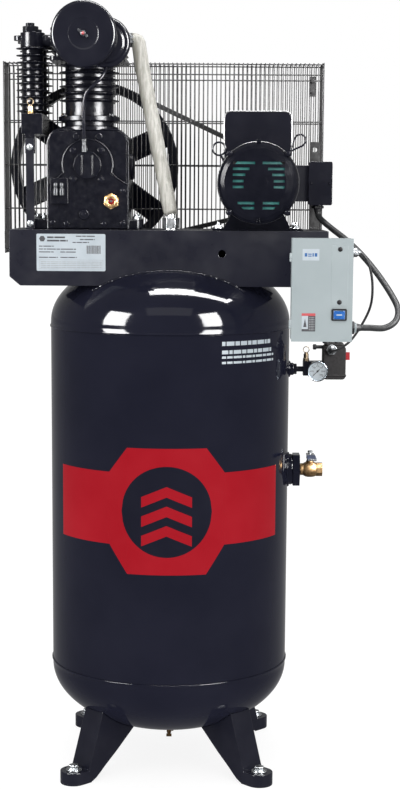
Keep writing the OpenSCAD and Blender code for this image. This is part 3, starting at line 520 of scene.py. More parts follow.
grips.lathe("y", 412, 1082, [(0, -30), (13, -30), (13, -34), (10, -35), (10, -41), (8, -43), (5.5, -46),
                             (3.5, -50), (0, -50)], 28)
grips.hexagon("y", 412, 1082, 24, -38, -34)
grips.make("cable_grips", STATIC, dull_steel, bevel=0.5)

# ---------------------------------------------------------------- receiver
TANK_R, SEAM_LOW, SEAM_HIGH = 305, 275, 1137
FLANGE, DOME = 14, 172


def head_profile(seam, side):
    outer = [(TANK_R * math.cos(math.radians(a)), seam + side * (FLANGE + DOME * math.sin(math.radians(a))))
             for a in range(0, 90, 2)]
    bead = [(TANK_R - 1, seam), (TANK_R + 1.6, seam), (TANK_R + 2.6, seam + side * 1.5),
            (TANK_R + 2.4, seam + side * 4), (TANK_R + 0.6, seam + side * 6.5)]
    return bead + outer + [(0, seam + side * (FLANGE + DOME)), (0, seam)]


shell = Shape()
shell.lathe("z", 0, 0, [(TANK_R - 5, SEAM_LOW), (TANK_R, SEAM_LOW), (TANK_R, 480), (TANK_R, 700),
                        (TANK_R, 920), (TANK_R, SEAM_HIGH), (TANK_R - 5, SEAM_HIGH)], 192, closed=True)
shell.lathe("x", 0, 768, [(0, 270), (40, 270), (40, 314), (38, 318), (0, 318)], 64)
shell.lathe("x", 0, 1029, [(0, 290), (16, 290), (16, 315), (14, 318), (0, 318)], 40)
for z, r in ((768, 40), (1029, 16)):
    shell.tube([(math.sqrt(TANK_R**2 - u**2) + 1, u, v + z) for u, v in disc_points(0, 0, r + 2, 48)],
               3.2, 8, closed=True)
# Longitudinal weld at the back
shell.tube([(40, math.sqrt(TANK_R**2 - 1600) + 0.5, z) for z in range(SEAM_LOW + 4, SEAM_HIGH - 2, 16)],
           2.6, 8, wobble=lambda i, a: 2.6 + 0.4 * math.sin(i * 1.7))
shell.hexagon("x", 0, 768, 80, 318, 336)
shell.make("receiver_shell", STATIC, tank_black, bevel=0.8, replaces=["tank_shell"], angle=50)

top = Shape()
top.lathe("z", 0, 0, head_profile(SEAM_HIGH, 1), 192)
top.lathe("z", 0, -100, [(0, 1280), (22, 1280), (22, 1321), (20, 1324), (0, 1324)], 40)
top.ring((0, -100, 1313), 23, 4, axis="z", count=48)
top.make("receiver_top", STATIC, tank_black, replaces=["tank_top_head"])
weld = Shape()
weld.tube([(x, -191.5, SEAM_HIGH + FLANGE + DOME * math.sqrt(1 - (x * x + 190 * 190) / TANK_R**2) - 0.5)
           for x in range(-186, 187, 3)], 3.0, 8,
          wobble=lambda i, a: 3.0 + 0.5 * math.sin(i * 1.9) + 0.5 * math.sin(i * 0.7 + 2))
weld.make("saddle_weld", STATIC, gloss_black)
bottom = Shape()
bottom.lathe("z", 0, 0, head_profile(SEAM_LOW, -1), 192)
bottom.lathe("z", 0, 0, [(0, 110), (14, 110), (14, 82), (12.5, 80), (0, 80)], 32)
bottom.make("receiver_bottom", STATIC, tank_black, replaces=["tank_bottom_head"])


FILM = 0.12  # half the thickness of a painted or stuck-on layer


def wrap(shape, start, end, low, high, lift, step=6.0, rows=1):
    """A film round the receiver's front; low(s) and high(s) are its edges at arc length s from the middle."""
    count = max(2, int((end - start) / step))
    points, faces = [], []
    for i in range(count + 1):
        s = start + (end - start) * i / count
        angle = s / TANK_R
        for layer in (lift + FILM, lift - FILM):
            r = TANK_R + layer
            for j in range(rows + 1):
                z = low(s) + (high(s) - low(s)) * j / rows
                points.append((r * math.sin(angle), -r * math.cos(angle), z))
    m = rows + 1
    w = 2 * m
    for i in range(count):
        a, b = i * w, (i + 1) * w
        for j in range(rows):
            faces.append([a + j, b + j, b + j + 1, a + j + 1])
            faces.append([a + m + j, a + m + j + 1, b + m + j + 1, b + m + j])
        faces.append([a, a + m, b + m, b])
        faces.append([a + rows, b + rows, b + m + rows, a + m + rows])
    for i, flip in ((0, False), (count, True)):
        a = i * w
        loop = [a + j for j in range(m)] + [a + m + j for j in range(m)][::-1]
        faces.append(loop if flip else loop[::-1])
    shape.mesh(points, faces)


BAND_LOW, BAND_HIGH, BAND_LEFT, BAND_RIGHT = 623, 802, -318, 330
HEX_LOW, HEX_HIGH, HEX_WIDE, HEX_FLAT = 552, 864, 146, 98


def hex_edge(s, edge, far):
    """Height of the band's edge: level outside the bulge, sloping up to the bulge's flat."""
    share = (HEX_WIDE - abs(s)) / (HEX_WIDE - HEX_FLAT)
    return edge + (far - edge) * min(1.0, max(0.0, share))


band = Shape()
BAND_CORNERS = (BAND_LEFT, -HEX_WIDE, -HEX_FLAT, HEX_FLAT, HEX_WIDE, BAND_RIGHT)
for start, end in zip(BAND_CORNERS, BAND_CORNERS[1:]):
    wrap(band, start, end, lambda s: hex_edge(s, BAND_LOW, HEX_LOW),
         lambda s: hex_edge(s, BAND_HIGH, HEX_HIGH), 0.3, rows=4)
band.make("painted_band", STATIC, band_red)
EMBLEM_Z, EMBLEM_R = 708, 112
plate = Shape()
wrap(plate, -EMBLEM_R, EMBLEM_R, lambda s: EMBLEM_Z - math.sqrt(max(4.0, EMBLEM_R**2 - s * s)),
     lambda s: EMBLEM_Z + math.sqrt(max(4.0, EMBLEM_R**2 - s * s)), 0.55, step=3.0, rows=2)
plate.make("band_roundel", STATIC, band_dark)
arrows = Shape()
for base in (-70, -22, 26):
    for start, end in ((-62, 0), (0, 62)):
        wrap(arrows, start, end, lambda s, b=base: EMBLEM_Z + b + 20 - abs(s) * 0.42 - 9,
             lambda s, b=base: EMBLEM_Z + b + 20 - abs(s) * 0.42 + 17, 0.8, step=4.0)
arrows.make("band_chevrons", STATIC, band_red)
notice = Shape()
for row, height, finish in ((1115.5, 10, 293), (1095, 9, 303), (1082.5, 5.5, 308), (1069.5, 5.5, 308)):
    s, k = 136.0, int(height)
    while s < finish - 3:
        w = min((17, 9, 22, 13, 19, 11, 15, 24, 8)[k % 9], finish - s)
        wrap(notice, s, s + w, lambda _s, c=row, h=height: c - h / 2,
             lambda _s, c=row, h=height: c + h / 2, 0.3, step=4.0)
        s += w + 3
        k += 1
notice.make("tank_notice_bars", STATIC, label_white)

# ---------------------------------------------------------------- CAD nodes with a finish
dress(["leg_front_left", "leg_front_right", "leg_rear_left", "leg_rear_right"], gloss_black, 1.6)
dress(["deck"], sheet_black, 1.4)
dress(["deck_supports", "intercooler_strap"], sheet_black, 0.6)
dress(["crankcase"], cast_black, 3.0, 30)
dress(["crankcase_cover", "cylinder_block", "cylinder_head", "intercooler_headers", "intercooler"],
      cast_black, 0.8)
dress(["flywheel"], cast_black, 1.2)
dress(["motor_pulley"], cast_black, 0.8)
dress(["capacitor_cover"], gloss_black, 3.0)
dress(["junction_box"], sheet_black, 1.6)
dress(["motor_frame", "motor_rear_bell"], motor_black, 0.7)
dress(["motor_front_bell"], motor_black)
dress(["guard_frame"], wire_black, 0.5)
dress(["starter_box"], enamel, 0.8)
dress(["starter_door"], enamel, 0.4)
dress(["pressure_switch"], grained_black, 2.4)
dress(["manifold"], gloss_black, 0.8)
dress(["switch_lever"], lever_red, 0.8)
dress(["contactor"], plastic_black, 1.0)
dress(["breather_tube"], plastic_black)
dress(["filter_element"], paper, 1.0)
dress(["crankshaft", "piston_sets", "bearings", "rotor"], steel, 0.6)
dress(["stator"], copper, 0.8)
dress(["relief_valve"], brass_bright, 0.3)
dress(["safety_valve"], brass_dark, 0.3)
dress(["relief_ring"], brass_dark, 0.15)
dress(["safety_ring"], brass_dark, 0.15)
dress(["check_valve"], zinc, 0.8)
dress(["discharge_pipe"], zinc)
dress(["gauge_needle"], print_dark)
dress(["ball_valve"], brass, 0.6)
dress(["ball_valve_handle"], zinc, 0.4)
dress(["drain_valve", "drain_handle"], brass, 0.4)
dress(["bolts"], zinc, 0.5)
dress(["belts"], rubber_black, 0.5)
dress(["sight_glass", "wing_nut", "filter_cover", "gauge_case", "reset_button"], zinc)

# ---------------------------------------------------------------- feet
anchors = Shape()
for sx in (-1, 1):
    for sy in (-1, 1):
        anchors.lathe("z", sx * 234, sy * 234, [(0, 33), (20, 33), (20, 35.4), (18.5, 36), (0, 36)], 32)
        anchors.bolt("z", sx * 234, sy * 234, 36, 1, 22, turn=0.4 * sx)
        anchors.lathe("z", sx * 234, sy * 234, [(0, 0), (7.6, 0), (7.6, 37), (0, 37)], 20)
anchors.make("anchor_bolts", STATIC, zinc, bevel=0.7)

# ---------------------------------------------------------------- belt guard
PUMP_X, CRANK_Z = -200, 1540  # flywheel's axis
MX, MZ = 216, 1499  # motor's axis
GUARD_LEFT, GUARD_RIGHT, GUARD_LOW, GUARD_TOP = -432, 389, 1322, 1805
WIRE_FRONT, WIRE_BACK, WIRE_COUNT = 77.4, 194.6, 73
guard = Shape()
corner = 16
over = [(WIRE_FRONT, GUARD_LOW), (WIRE_FRONT, 1500), (WIRE_FRONT, 1660)]
over += [(WIRE_FRONT + corner - corner * math.cos(math.radians(a)),
          GUARD_TOP - 1.4 - corner + corner * math.sin(math.radians(a))) for a in range(0, 91, 18)]
over += [(WIRE_BACK - corner + corner * math.sin(math.radians(a)),
          GUARD_TOP - 1.4 - corner + corner * math.cos(math.radians(a))) for a in range(0, 91, 18)]
over += [(WIRE_BACK, 1660), (WIRE_BACK, 1500), (WIRE_BACK, GUARD_LOW)]
for i in range(WIRE_COUNT):
    x = GUARD_LEFT + 3.5 + (GUARD_RIGHT - GUARD_LEFT - 7) * i / (WIRE_COUNT - 1)
    lean = random.uniform(-0.7, 0.7)
    hubs = ((PUMP_X, CRANK_Z, 62), (MX, MZ, 42))
    holes = [(z - math.sqrt(r * r - (x - hx) ** 2), z + math.sqrt(r * r - (x - hx) ** 2))
             for hx, z, r in hubs if abs(x - hx) < r]
    if holes:
        low, high = holes[0]
        guard.tube([(x, WIRE_FRONT, GUARD_LOW), (x, WIRE_FRONT, low)], 1.4, 6)
        guard.tube([(x, WIRE_FRONT, high)] + [(x, y, z) for y, z in over[2:] if z > high or y > 100], 1.4, 6)
    else:
        guard.tube([(x + lean * math.sin((z - GUARD_LOW) / 160), y, z) for y, z in over], 1.4, 6)
for y in (WIRE_FRONT + 2.6, WIRE_BACK - 2.6):
    for z in (GUARD_LOW + 2, 1433, 1545, 1656, 1774 if y < 100 else 1767):
        gap = [(hx, hz, r) for hx, hz, r in ((PUMP_X, CRANK_Z, 66), (MX, MZ, 46))
               if abs(z - hz) < r and y < 100]
        if gap:
            hx, hz, r = gap[0]
            half = math.sqrt(r * r - (z - hz) ** 2)
            guard.tube([(GUARD_LEFT + 1, y, z), (hx - half, y, z)], 1.6, 6)
            guard.tube([(hx + half, y, z), (GUARD_RIGHT - 1, y, z)], 1.6, 6)
        else:
            guard.tube([(GUARD_LEFT + 1, y, z), (GUARD_RIGHT - 1, y, z)], 1.6, 6)
for hx, hz, r in ((PUMP_X, CRANK_Z, 64), (MX, MZ, 44)):
    guard.ring((hx, hz, WIRE_FRONT + 1), r, 2.2, count=48)
for y in (WIRE_FRONT + corner, WIRE_BACK - corner):
    guard.tube([(GUARD_LEFT + 1, y, GUARD_TOP - 4), (GUARD_RIGHT - 1, y, GUARD_TOP - 4)], 1.6, 6)
guard.make("guard_wires", STATIC, wire_black, replaces=["guard_panels"])
clip = Shape()
clip.box(350, 366, 72, 75, 1720, 1770)
for z in (1758, 1732):
    clip.bolt("y", 358, z, 72, -1, 8)
clip.make("guard_clip", STATIC, wire_black, bevel=0.6)

# ---------------------------------------------------------------- discharge line
line = [(-98, -40, 1850), (-90, -40, 1850), (-84, -40.5, 1847), (-80, -42, 1839), (-78, -43.5, 1827),
        (-75.5, -45.5, 1808)]
start, finish = Vector((-72.5, -48, 1788)), Vector((2.8, -99.6, 1421))
line += [tuple(start.lerp(finish, i / 40)) for i in range(41)]


def creased(i, angle):
    grow = min(1.0, i / 3) if i < 42 else max(0.72, 1 - (i - 41) * 0.07)
    wave = (0.5 * math.sin(i * 0.9 + 2 * angle) + 0.35 * math.sin(i * 2.3 + 3 * angle)
            + 0.25 * math.sin(i * 0.37))
    fold = 1.1 * math.exp(-(((angle - 4.1 + 0.3 * math.sin(i * 0.4)) / 0.22) ** 2))
    return (18.2 + wave - fold) * (0.82 + 0.18 * grow)


cloth = Shape()
cloth.tube(line, 18, 48, wobble=creased)
cloth.make("insulating_sleeve", STATIC, sleeve_cloth, replaces=["discharge_sleeve"])

# ---------------------------------------------------------------- pump

def finned(shape, cu, cv, r_root, r_tip, z0, z1, heights, root=3.4, tip=0.9, count=56):
    """A vertical barrel with tapered cooling fins at the given heights."""
    profile = [(0, z0), (r_root, z0)]
    for z in heights:
        profile += [(r_root, z - root - 1.2), (r_root + 1.4, z - root + 0.4), (r_tip - 0.6, z - tip),
                    (r_tip, z - 0.3), (r_tip, z + 0.3), (r_tip - 0.6, z + tip),
                    (r_root + 1.4, z + root - 0.4), (r_root, z + root + 1.2)]
    profile += [(r_root, z1), (0, z1)]
    shape.lathe("z", cu, cv, profile, count)


cooler = Shape()
for y in (-60, 24):
    finned(cooler, -341, y, 26, 41, 1664, 1827, [1672.5 + 16.8 * i for i in range(10)])
cooler.make("intercooler_tubes", STATIC, cast_black, replaces=["intercooler"], angle=80,
            bevel=0.3)
barrels = Shape()
for y, root_r, tip_r, base_r in ((-78, 59, 74, 72), (24, 38, 57, 52)):
    fins = [1697 + 17 * i for i in range(6)]
    finned(barrels, PUMP_X, y, root_r, tip_r, 1646, 1790, fins, root=3.8)
    barrels.lathe("z", PUMP_X, y, [(0, 1625), (base_r, 1625), (base_r, 1633), (root_r + 2, 1636),
                                   (root_r + 2, 1645), (base_r + 4, 1648), (base_r + 4, 1658),
                                   (root_r, 1661), (0, 1661)], 56)
barrels.box(PUMP_X - 22, PUMP_X + 22, -78, 24, 1626, 1789)
for i in range(6):
    barrels.box(PUMP_X - 40, PUMP_X + 40, -78, 24, 1695.8 + 17 * i, 1698.2 + 17 * i)
for sx in (-1, 1):
    for y in (-128, -26):
        barrels.bolt("z", PUMP_X + sx * 57, y, 1658, 1, 13, turn=0.2 * y)
barrels.make("cylinder_barrels", STATIC, cast_black, bevel=0.35, replaces=["cylinder_block"],
             angle=60)
head = Shape()
head.prism("z", rounded(-292, -108, -150, 62, 12), 1790, 1801)
head.prism("z", rounded(-280, -120, -142, 52, 10), 1800, 1864)
for i in range(4):
    z = 1812 + 14 * i
    outline = rounded(-291, -109, -150, 60, 14)
    inner = rounded(-282, -118, -144, 54, 10)
    levels = ((inner, -3.2), (outline, -0.8), (outline, 0.8), (inner, 3.2))
    head.loft([[(u, v, z + dz) for u, v in ring] for ring, dz in levels])
head.prism("z", rounded(-290, -110, -150, 60, 14), 1862, 1868)
for y in (-60, 24):
    head.lathe("x", y, 1843, [(0, -296), (18, -296), (19, -294), (19, -285), (15, -282), (15, -276),
                              (0, -276)], 36)
head.lathe("x", -40, 1848, [(0, -104), (19, -104), (20, -106), (20, -115), (16, -118), (0, -118)], 36)
head.lathe("y", -155, 1832, [(0, -150), (38, -150), (40, -148), (40, -141), (0, -141)], 40)
head.make("valve_head", STATIC, cast_black, bevel=0.8, replaces=["cylinder_head"], angle=50)

# Painted and plated fasteners stand for the one node of them
plated = Shape()
for sx in (-1, 1):
    for y in (-150, -10):
        plated.bolt("z", MX + sx * 95.25, y, 1389, 1, 15, turn=0.3 * sx + y)
        plated.lathe("z", MX + sx * 95.25, y, [(0, 1395), (4.6, 1395), (4.6, 1403), (3.8, 1404), (0, 1404)],
                     16)
for x in (-326, -84):
    for y in (-102, 28):
        plated.bolt("z", x, y, 1408, 1, 17, turn=0.01 * x)
        plated.lathe("z", x, y, [(0, 1415), (5, 1415), (5, 1421), (4.2, 1422), (0, 1422)], 16)
for z in (1398, 1583):
    plated.bolt("y", -343, z, -129, -1, 10, turn=0.5)
plated.make("plated_bolts", STATIC, zinc, bevel=0.4, replaces=["bolts"])
painted_bolts = Shape()
for x in (-235, -167):
    for z in (1506, 1575):
        painted_bolts.bolt("y", x, z, -150, -1, 11, turn=0.2 * z)
for x in (-278, -122):
    for y in (-136, -44, 48):
        painted_bolts.bolt("z", x, y, 1868, 1, 13, turn=0.2 * y)
for sx in (-1, 1):
    for sz in (-1, 1):
        painted_bolts.bolt("y", MX + sx * 70, MZ + sz * 70, -232, -1, 8, turn=0.4 * sz)
painted_bolts.lathe("y", -209, 1420, [(0, -150), (13, -150), (13, -152), (11.5, -153.5), (11.5, -155),
                                      (0, -155)], 32)
painted_bolts.hexagon("y", -209, 1420, 11, -158, -154.5)
for x, z in ((-286, 1400), (-114, 1400), (-286, 1478), (-114, 1478), (-252, 1398), (-160, 1398)):
    painted_bolts.bolt("y", x, z, -150, -1, 9, turn=0.3 * x)
painted_bolts.make("painted_bolts", STATIC, gloss_black, bevel=0.5)

# Flanged edge and cast pads of the crankcase
rim = Shape()
edge = [(-298, 1386), (-298, 1596), (-291, 1613), (-282, 1621), (-270, 1625), (-130, 1625), (-118, 1621),
        (-109, 1613), (-102, 1596), (-102, 1386)]
rim.tube([(u, -140, v) for u, v in edge], 3.2, 8)
rim.tube([(-262 + 62 - 62 * math.cos(math.radians(a)), -150.5, 1540 + 62 * math.sin(math.radians(a)))
          for a in range(-18, 199, 8)], 2.2, 8)
rim.tube([(-141, -150.5, 1521), (-126, -150.5, 1507), (-103, -150.5, 1493)], 2.2, 8)
rim.tube([(-259, -150.5, 1521), (-274, -150.5, 1507), (-297, -150.5, 1493)], 2.2, 8)
for x, r in ((-228, 9), (-172, 9)):
    rim.lathe("y", x, 1608, [(0, -140), (r, -140), (r, -146), (r - 2, -148), (0, -148)], 24)
rim.lathe("x", 10, 1540, [(0, -104), (30, -104), (34, -102), (34, -96), (28, -92), (0, -92)], 40)
rim.make("crankcase_edges", STATIC, cast_black, bevel=0.5)

BREATHER = [(-152, -160, 1790), (-153, -160, 1774), (-161, -172, 1752), (-180, -178, 1732),
            (-199, -178, 1712), (-206, -176, 1688), (-207, -170, 1640), (-207, -164, 1596),
            (-207, -164, 1560)]
hose = Shape()
hose.tube(smooth_line(BREATHER, 7), 4.2, 14)
hose.make("breather_hose", STATIC, gloss_black, replaces=["breather_tube"])
caps = Shape()
caps.lathe("z", -207, -164, [(0, 1571), (6.4, 1571), (6.4, 1585), (5.2, 1586), (5.2, 1596), (6, 1597),
                             (6, 1601), (4.3, 1602), (0, 1602)], 28)
caps.lathe("y", -207, 1578, [(0, -164), (5, -164), (5, -152), (7, -151), (0, -151)], 24)
for x in (-277, -262):
    caps.lathe("z", x, -166, [(0, 1466), (5.6, 1466), (6.4, 1468), (6.4, 1482), (4.4, 1484), (4.4, 1487),
                              (5.4, 1489), (5.4, 1494), (3.5, 1497), (0, 1497.5)], 28)
    caps.lathe("y", x, 1474, [(0, -165), (4, -165), (4, -156), (0, -156)], 16)
caps.make("breather_fittings", STATIC, grey_cap, bevel=0.3)
glass = Shape()
glass.hexagon("y", -142, 1453, 34, -157, -150, turn=math.radians(28))
glass.lathe("y", -142, 1453, [(9, -158), (10, -159.6), (14.6, -159.2), (16.4, -157), (16.4, -150),
                              (9, -150)], 48, closed=True)
glass.slot = 1
glass.lathe("y", -142, 1453, [(0, -158.4), (4, -158.2), (9.4, -156.4), (9.4, -151), (0, -151)], 32)
glass.slot = 2
glass.lathe("y", -142, 1453, [(0, -158.9), (2.6, -158.8), (3.2, -158.2), (0, -158)], 24)
glass.make("oil_sight", STATIC, [brass_bright, lens_red, print_dark], bevel=0.5,
           replaces=["sight_glass"])

# ---------------------------------------------------------------- air filter
FX, FZ = -203, 1846
cover = Shape()
cover.lathe("y", FX, FZ, [(0, -228.6), (9, -228.6), (10, -229.4), (33, -229.4), (36, -231.6), (40, -232),
                          (66, -231.4), (71, -231.8), (75, -230.2), (77.4, -227), (78, -222), (78, -186),
                          (78.6, -184.6),
                          (77.6, -184), (76.4, -185.5), (76.4, -222), (74, -227), (70, -228.6), (40, -228.8),
                          (35, -227.2), (0, -226.9)], 96)
cover.make("filter_lid", STATIC, gloss_black, replaces=["filter_cover"])
pleats = Shape()
outer = []
for i in range(120):
    angle = 2 * math.pi * i / 120
    r = 72 if i % 2 else 66
    outer.append((FX + r * math.cos(angle), FZ + r * math.sin(angle)))
pleats.prism("y", outer, -187, -183.5)
pleats.make("filter_pleats", STATIC, paper)
back = Shape()
back.lathe("y", -155, 1832, [(0, -147), (56, -147), (59, -150), (60.5, -155), (59.5, -160), (56, -164),
                             (50.5, -165.5), (48, -162.5), (45, -165), (40, -168.5), (0, -168.5)], 96)
back.lathe("y", -175, 1838, [(0, -182), (32, -182), (32, -167), (0, -167)], 48)
back.lathe("y", FX, FZ, [(0, -186.5), (73, -186.5), (74.8, -185.6), (74.8, -181), (73, -180), (0, -180)], 96)
back.make("filter_back", STATIC, gloss_black, replaces=["filter_base"])
wing = Shape()
turn = math.radians(-35)
wing.lathe("y", FX, FZ, [(4.2, -232.3), (7.4, -232.3), (7.4, -235), (6, -239.6), (4.2, -240.4)], 32,
           closed=True)
for side in (-1, 1):
    points = []
    for lift in (-1.3, 1.3):
        for u, v, w in ((5, -233.4, -2.6), (9, -234.8, -3.2), (13.6, -239.4, -3), (14.8, -241.6, 0),
                        (13.6, -239.4, 3), (9, -234.8, 3.2), (5, -233.4, 2.6)):
            u2, w2 = side * u, w
            x = FX + u2 * math.cos(turn) - w2 * math.sin(turn)
            z = FZ + u2 * math.sin(turn) + w2 * math.cos(turn)
            points.append((x, v + lift - 1.3, z))
    n = 7
    faces = [list(range(n)), list(range(n, 2 * n))[::-1]]
    faces += [[k, n + k, n + (k + 1) % n, (k + 1) % n] for k in range(n)]
    wing.mesh(points, faces)
wing.make("wing_nut_visual", "wing_nut", grey_cap, bevel=0.5, replaces=["wing_nut"])
stud = Shape()
stud.lathe("y", FX, FZ, [(0, -230), (3.8, -230), (3.8, -241.6), (3, -242.6), (0, -242.6)], 20)
stud.make("filter_stud_tip", STATIC, print_red)

# ---------------------------------------------------------------- motor
baffle = Shape()
baffle.lathe("y", MX, MZ, [(24, -235.8), (72, -235.4), (72, -234.6), (24, -235.0)], 64, closed=True)
baffle.make("vent_baffle", STATIC, teal)
rims = Shape()
rims.ring((MX, MZ, -206), 96.8, 2.4, count=96)
rims.ring((MX, MZ, 19.5), 97.6, 1.5, count=96)
rims.make("bell_rims", STATIC, rim_black)
trim = Shape()
trim.box(MX - 5, MX + 5, -226, -206, MZ + 95, MZ + 101)
for x in (MX - 3, MX + 3):
    trim.lathe("y", x, MZ + 102, [(0, -222), (2.6, -222), (2.6, -210), (0, -210)], 14)
for dx in (-4, 4):
    trim.box(MX + dx - 1.2, MX + dx + 1.2, -238, -228, MZ - 97, MZ - 85)
trim.lathe("y", MX, MZ, [(0, -240.4), (20, -240.4), (23, -239.6), (24, -238), (0, -238)], 48)
trim.make("motor_trim", STATIC, motor_black, bevel=0.4)
lifting = Shape()
lifting.ring((121, 1580, -190), 15.5, 2.3, count=36)
lifting.tube([(125, -190, 1565.5), (130, -190, 1556), (133, -190, 1547)], 2.6, 8)
tear = [(290, 1571), (297, 1590), (300, 1603), (307, 1612), (318, 1614), (327, 1607), (328, 1596),
        (320, 1587), (306, 1581), (292, 1574)]
lifting.tube([(x, -226, z) for x, z in tear], 2.3, 8, closed=True)
lifting.lathe("y", 287, 1570, [(3.2, -229), (8.5, -229), (8.5, -223.5), (3.2, -223.5)], 28, closed=True)
lifting.make("lifting_rings", STATIC, gloss_black, bevel=0.3)
lid = Shape()
lid.prism("y", rounded(346, 406, 1446, 1554, 5), -44, -40)
for x in (353, 399):
    lid.bolt("y", x, 1500, -44, -1, 6, washer=False)
lid.make("junction_lid", STATIC, gloss_black, bevel=1.0)
bead = Shape()
outline = rounded(MX - 83, MX + 83, 1551, 1672, 17, 6)
bead.tube([(u, -130, v) for u, v in outline], 1.8, 8, closed=True)
bead.make("capacitor_bead", STATIC, rim_black)
# Feet rails under the motor
rails = Shape()
for y in (-150, -10):
    rails.prism("x", [(y - 16, 1384), (y + 16, 1384), (y + 16, 1387), (y - 16, 1387)], MX - 112, MX + 112)
rails.make("motor_foot_pads", STATIC, sheet_black, bevel=0.6)

# ---------------------------------------------------------------- labels and starter
plate = Shape()
DECK_FRONT = -190
plate.prism("y", rounded(-312, -144, 1288, 1378, 3), DECK_FRONT - 0.5, DECK_FRONT + 0.2)
plate.slot = 1


def bars(shape, x0, x1, z, height, y, words, gap=1.6):
    """A line of plain bars that stands for printed matter."""
    x, k = x0, 0
    while x < x1 - 1:
        w = min(words[k % len(words)], x1 - x)
        shape.box(x, x + w, y - 0.12, y + 0.2, z - height / 2, z + height / 2)
        x += w + gap
        k += 1


PRINT = DECK_FRONT - 0.55
plate.prism("y", disc_points(-298, 1366, 7.5, 6), PRINT - 0.12, PRINT + 0.2)
for start, end, z, height, words in (
        (-286, -240, 1369.5, 4, (16, 26)), (-286, -236, 1361.5, 4, (30, 14)),
        (-216, -168, 1372.5, 2.4, (14, 9, 20)), (-206, -170, 1364.5, 2.4, (9, 22)),
        (-224, -184, 1357.5, 2.4, (8, 14, 10)), (-306, -270, 1348, 2.2, (9, 20)),
        (-306, -216, 1341, 2.2, (10, 6, 22, 9, 30)), (-306, -270, 1334, 2.2, (28, 9)),
        (-306, -260, 1321, 2.2, (22, 18)), (-254, -214, 1334, 2.2, (12, 24)),
        (-254, -214, 1321, 2.2, (18, 16))):
    bars(plate, start, end, z, height, PRINT, words)
x = -190
for k in range(22):
    w = (0.5, 1.0, 0.6, 1.5)[k * 7 % 4]
    plate.box(x, x + w, PRINT - 0.12, PRINT + 0.2, 1330, 1350)
    x += w + (0.6, 0.9, 0.5)[k * 5 % 3]
plate.slot = 2
for z in (1310, 1305.6, 1301.2, 1296.8):
    bars(plate, -302, -152, z, 1.6, PRINT, (14, 8, 19, 6, 11, 23, 9), 1.2)
for x0, x1, z0, z1 in ((-305, -150, 1314.6, 1315.2), (-305, -150, 1293, 1293.6), (-305, -304.4, 1293, 1315),
                       (-150.6, -150, 1293, 1315)):
    plate.box(x0, x1, PRINT - 0.1, PRINT + 0.2, z0, z1)
plate.shift(-10, 0, -4)
plate.make("data_label", STATIC, [label_white, print_dark, print_grey])

FACE = -400
door = Shape()
SCREW = [(0, FACE - 2.8), (3.4, FACE - 2.8), (5.4, FACE - 1.6), (5.6, FACE - 0.6), (0, FACE - 0.6)]
for z in (1225, 1347):
    door.lathe("y", 402, z, SCREW, 28)
bezel = ((rounded(384, 420, 1182, 1210, 2.5), 0.2), (rounded(385, 419, 1183, 1209, 2.5), 5),
         (rounded(387.6, 416.4, 1185.2, 1206.8, 1.5), 5), (rounded(388.6, 415.4, 1186.2, 1205.8, 1.5), 0.2))
door.loft([[(u, FACE - out, v) for u, v in ring] for ring, out in bezel], closed=True)
door.make("door_bezel", "starter_door", screw_black, bevel=0.3)
press = Shape()
base = rounded(389, 415, 1186.5, 1205.5, 1.2)
key = ((base, -3), (base, 7), (rounded(390, 414, 1187.5, 1204.5, 1), 8),
       (rounded(391.5, 412.5, 1189, 1203, 1), 6.6))
press.loft([[(u, FACE - out, v) for u, v in ring] for ring, out in key])
press.slot = 1
press.box(395.5, 408.5, FACE - 6.9, FACE - 6.4, 1194.6, 1197.4)
press.make("reset_key", "reset_button", [button_blue, label_white], bevel=0.25,
           replaces=["reset_button"])
stickers = Shape()
stickers.prism("y", rounded(315, 354, 1321, 1347.5, 0.8), FACE - 0.3, FACE)
stickers.prism("y", rounded(315.5, 331, 1162.5, 1193, 0.4), FACE - 0.3, FACE)
stickers.slot = 1
for x0, x1, z0, z1 in ((320, 326, 1330, 1338), (328, 336, 1330, 1332.4), (328, 336, 1334.4, 1336.8),
                       (338, 341, 1330, 1338), (343, 349, 1330, 1338)):
    stickers.box(x0, x1, FACE - 0.42, FACE - 0.2, z0, z1)
stickers.slot = 2
stickers.prism("y", rounded(315, 347, 1193, 1199, 0.4), FACE - 0.36, FACE)
stickers.slot = 3
stickers.prism("y", rounded(330, 347, 1157, 1193, 0.4), FACE - 0.36, FACE)
stickers.prism("y", rounded(315.5, 330, 1157, 1162.5, 0.4), FACE - 0.36, FACE)
stickers.prism("y", [(319, 1167), (327, 1167), (323, 1187)], FACE - 0.45, FACE - 0.2)
stickers.slot = 4
for z in range(1161, 1192, 4):
    bars(stickers, 332, 345, z, 1.3, FACE - 0.36, (4, 6, 3), 0.8)
stickers.make("door_stickers", "starter_door",
              [label_white, print_blue, print_red, print_dark, print_grey])
knock = Shape()
knock.lathe("z", 322, -357, [(0, 1130.5), (13, 1130.5), (15, 1132), (15, 1135), (0, 1135)], 32)
knock.lathe("z", 400, -357, [(0, 1131), (9, 1131), (10, 1132), (10, 1135), (0, 1135)], 28)
for y, z in ((-380, 1352), (-330, 1352), (-330, 1150)):
    knock.bolt("x", y, z, 431.5, 1, 7, washer=False)
knock.make("starter_plugs", STATIC, enamel, bevel=0.4)

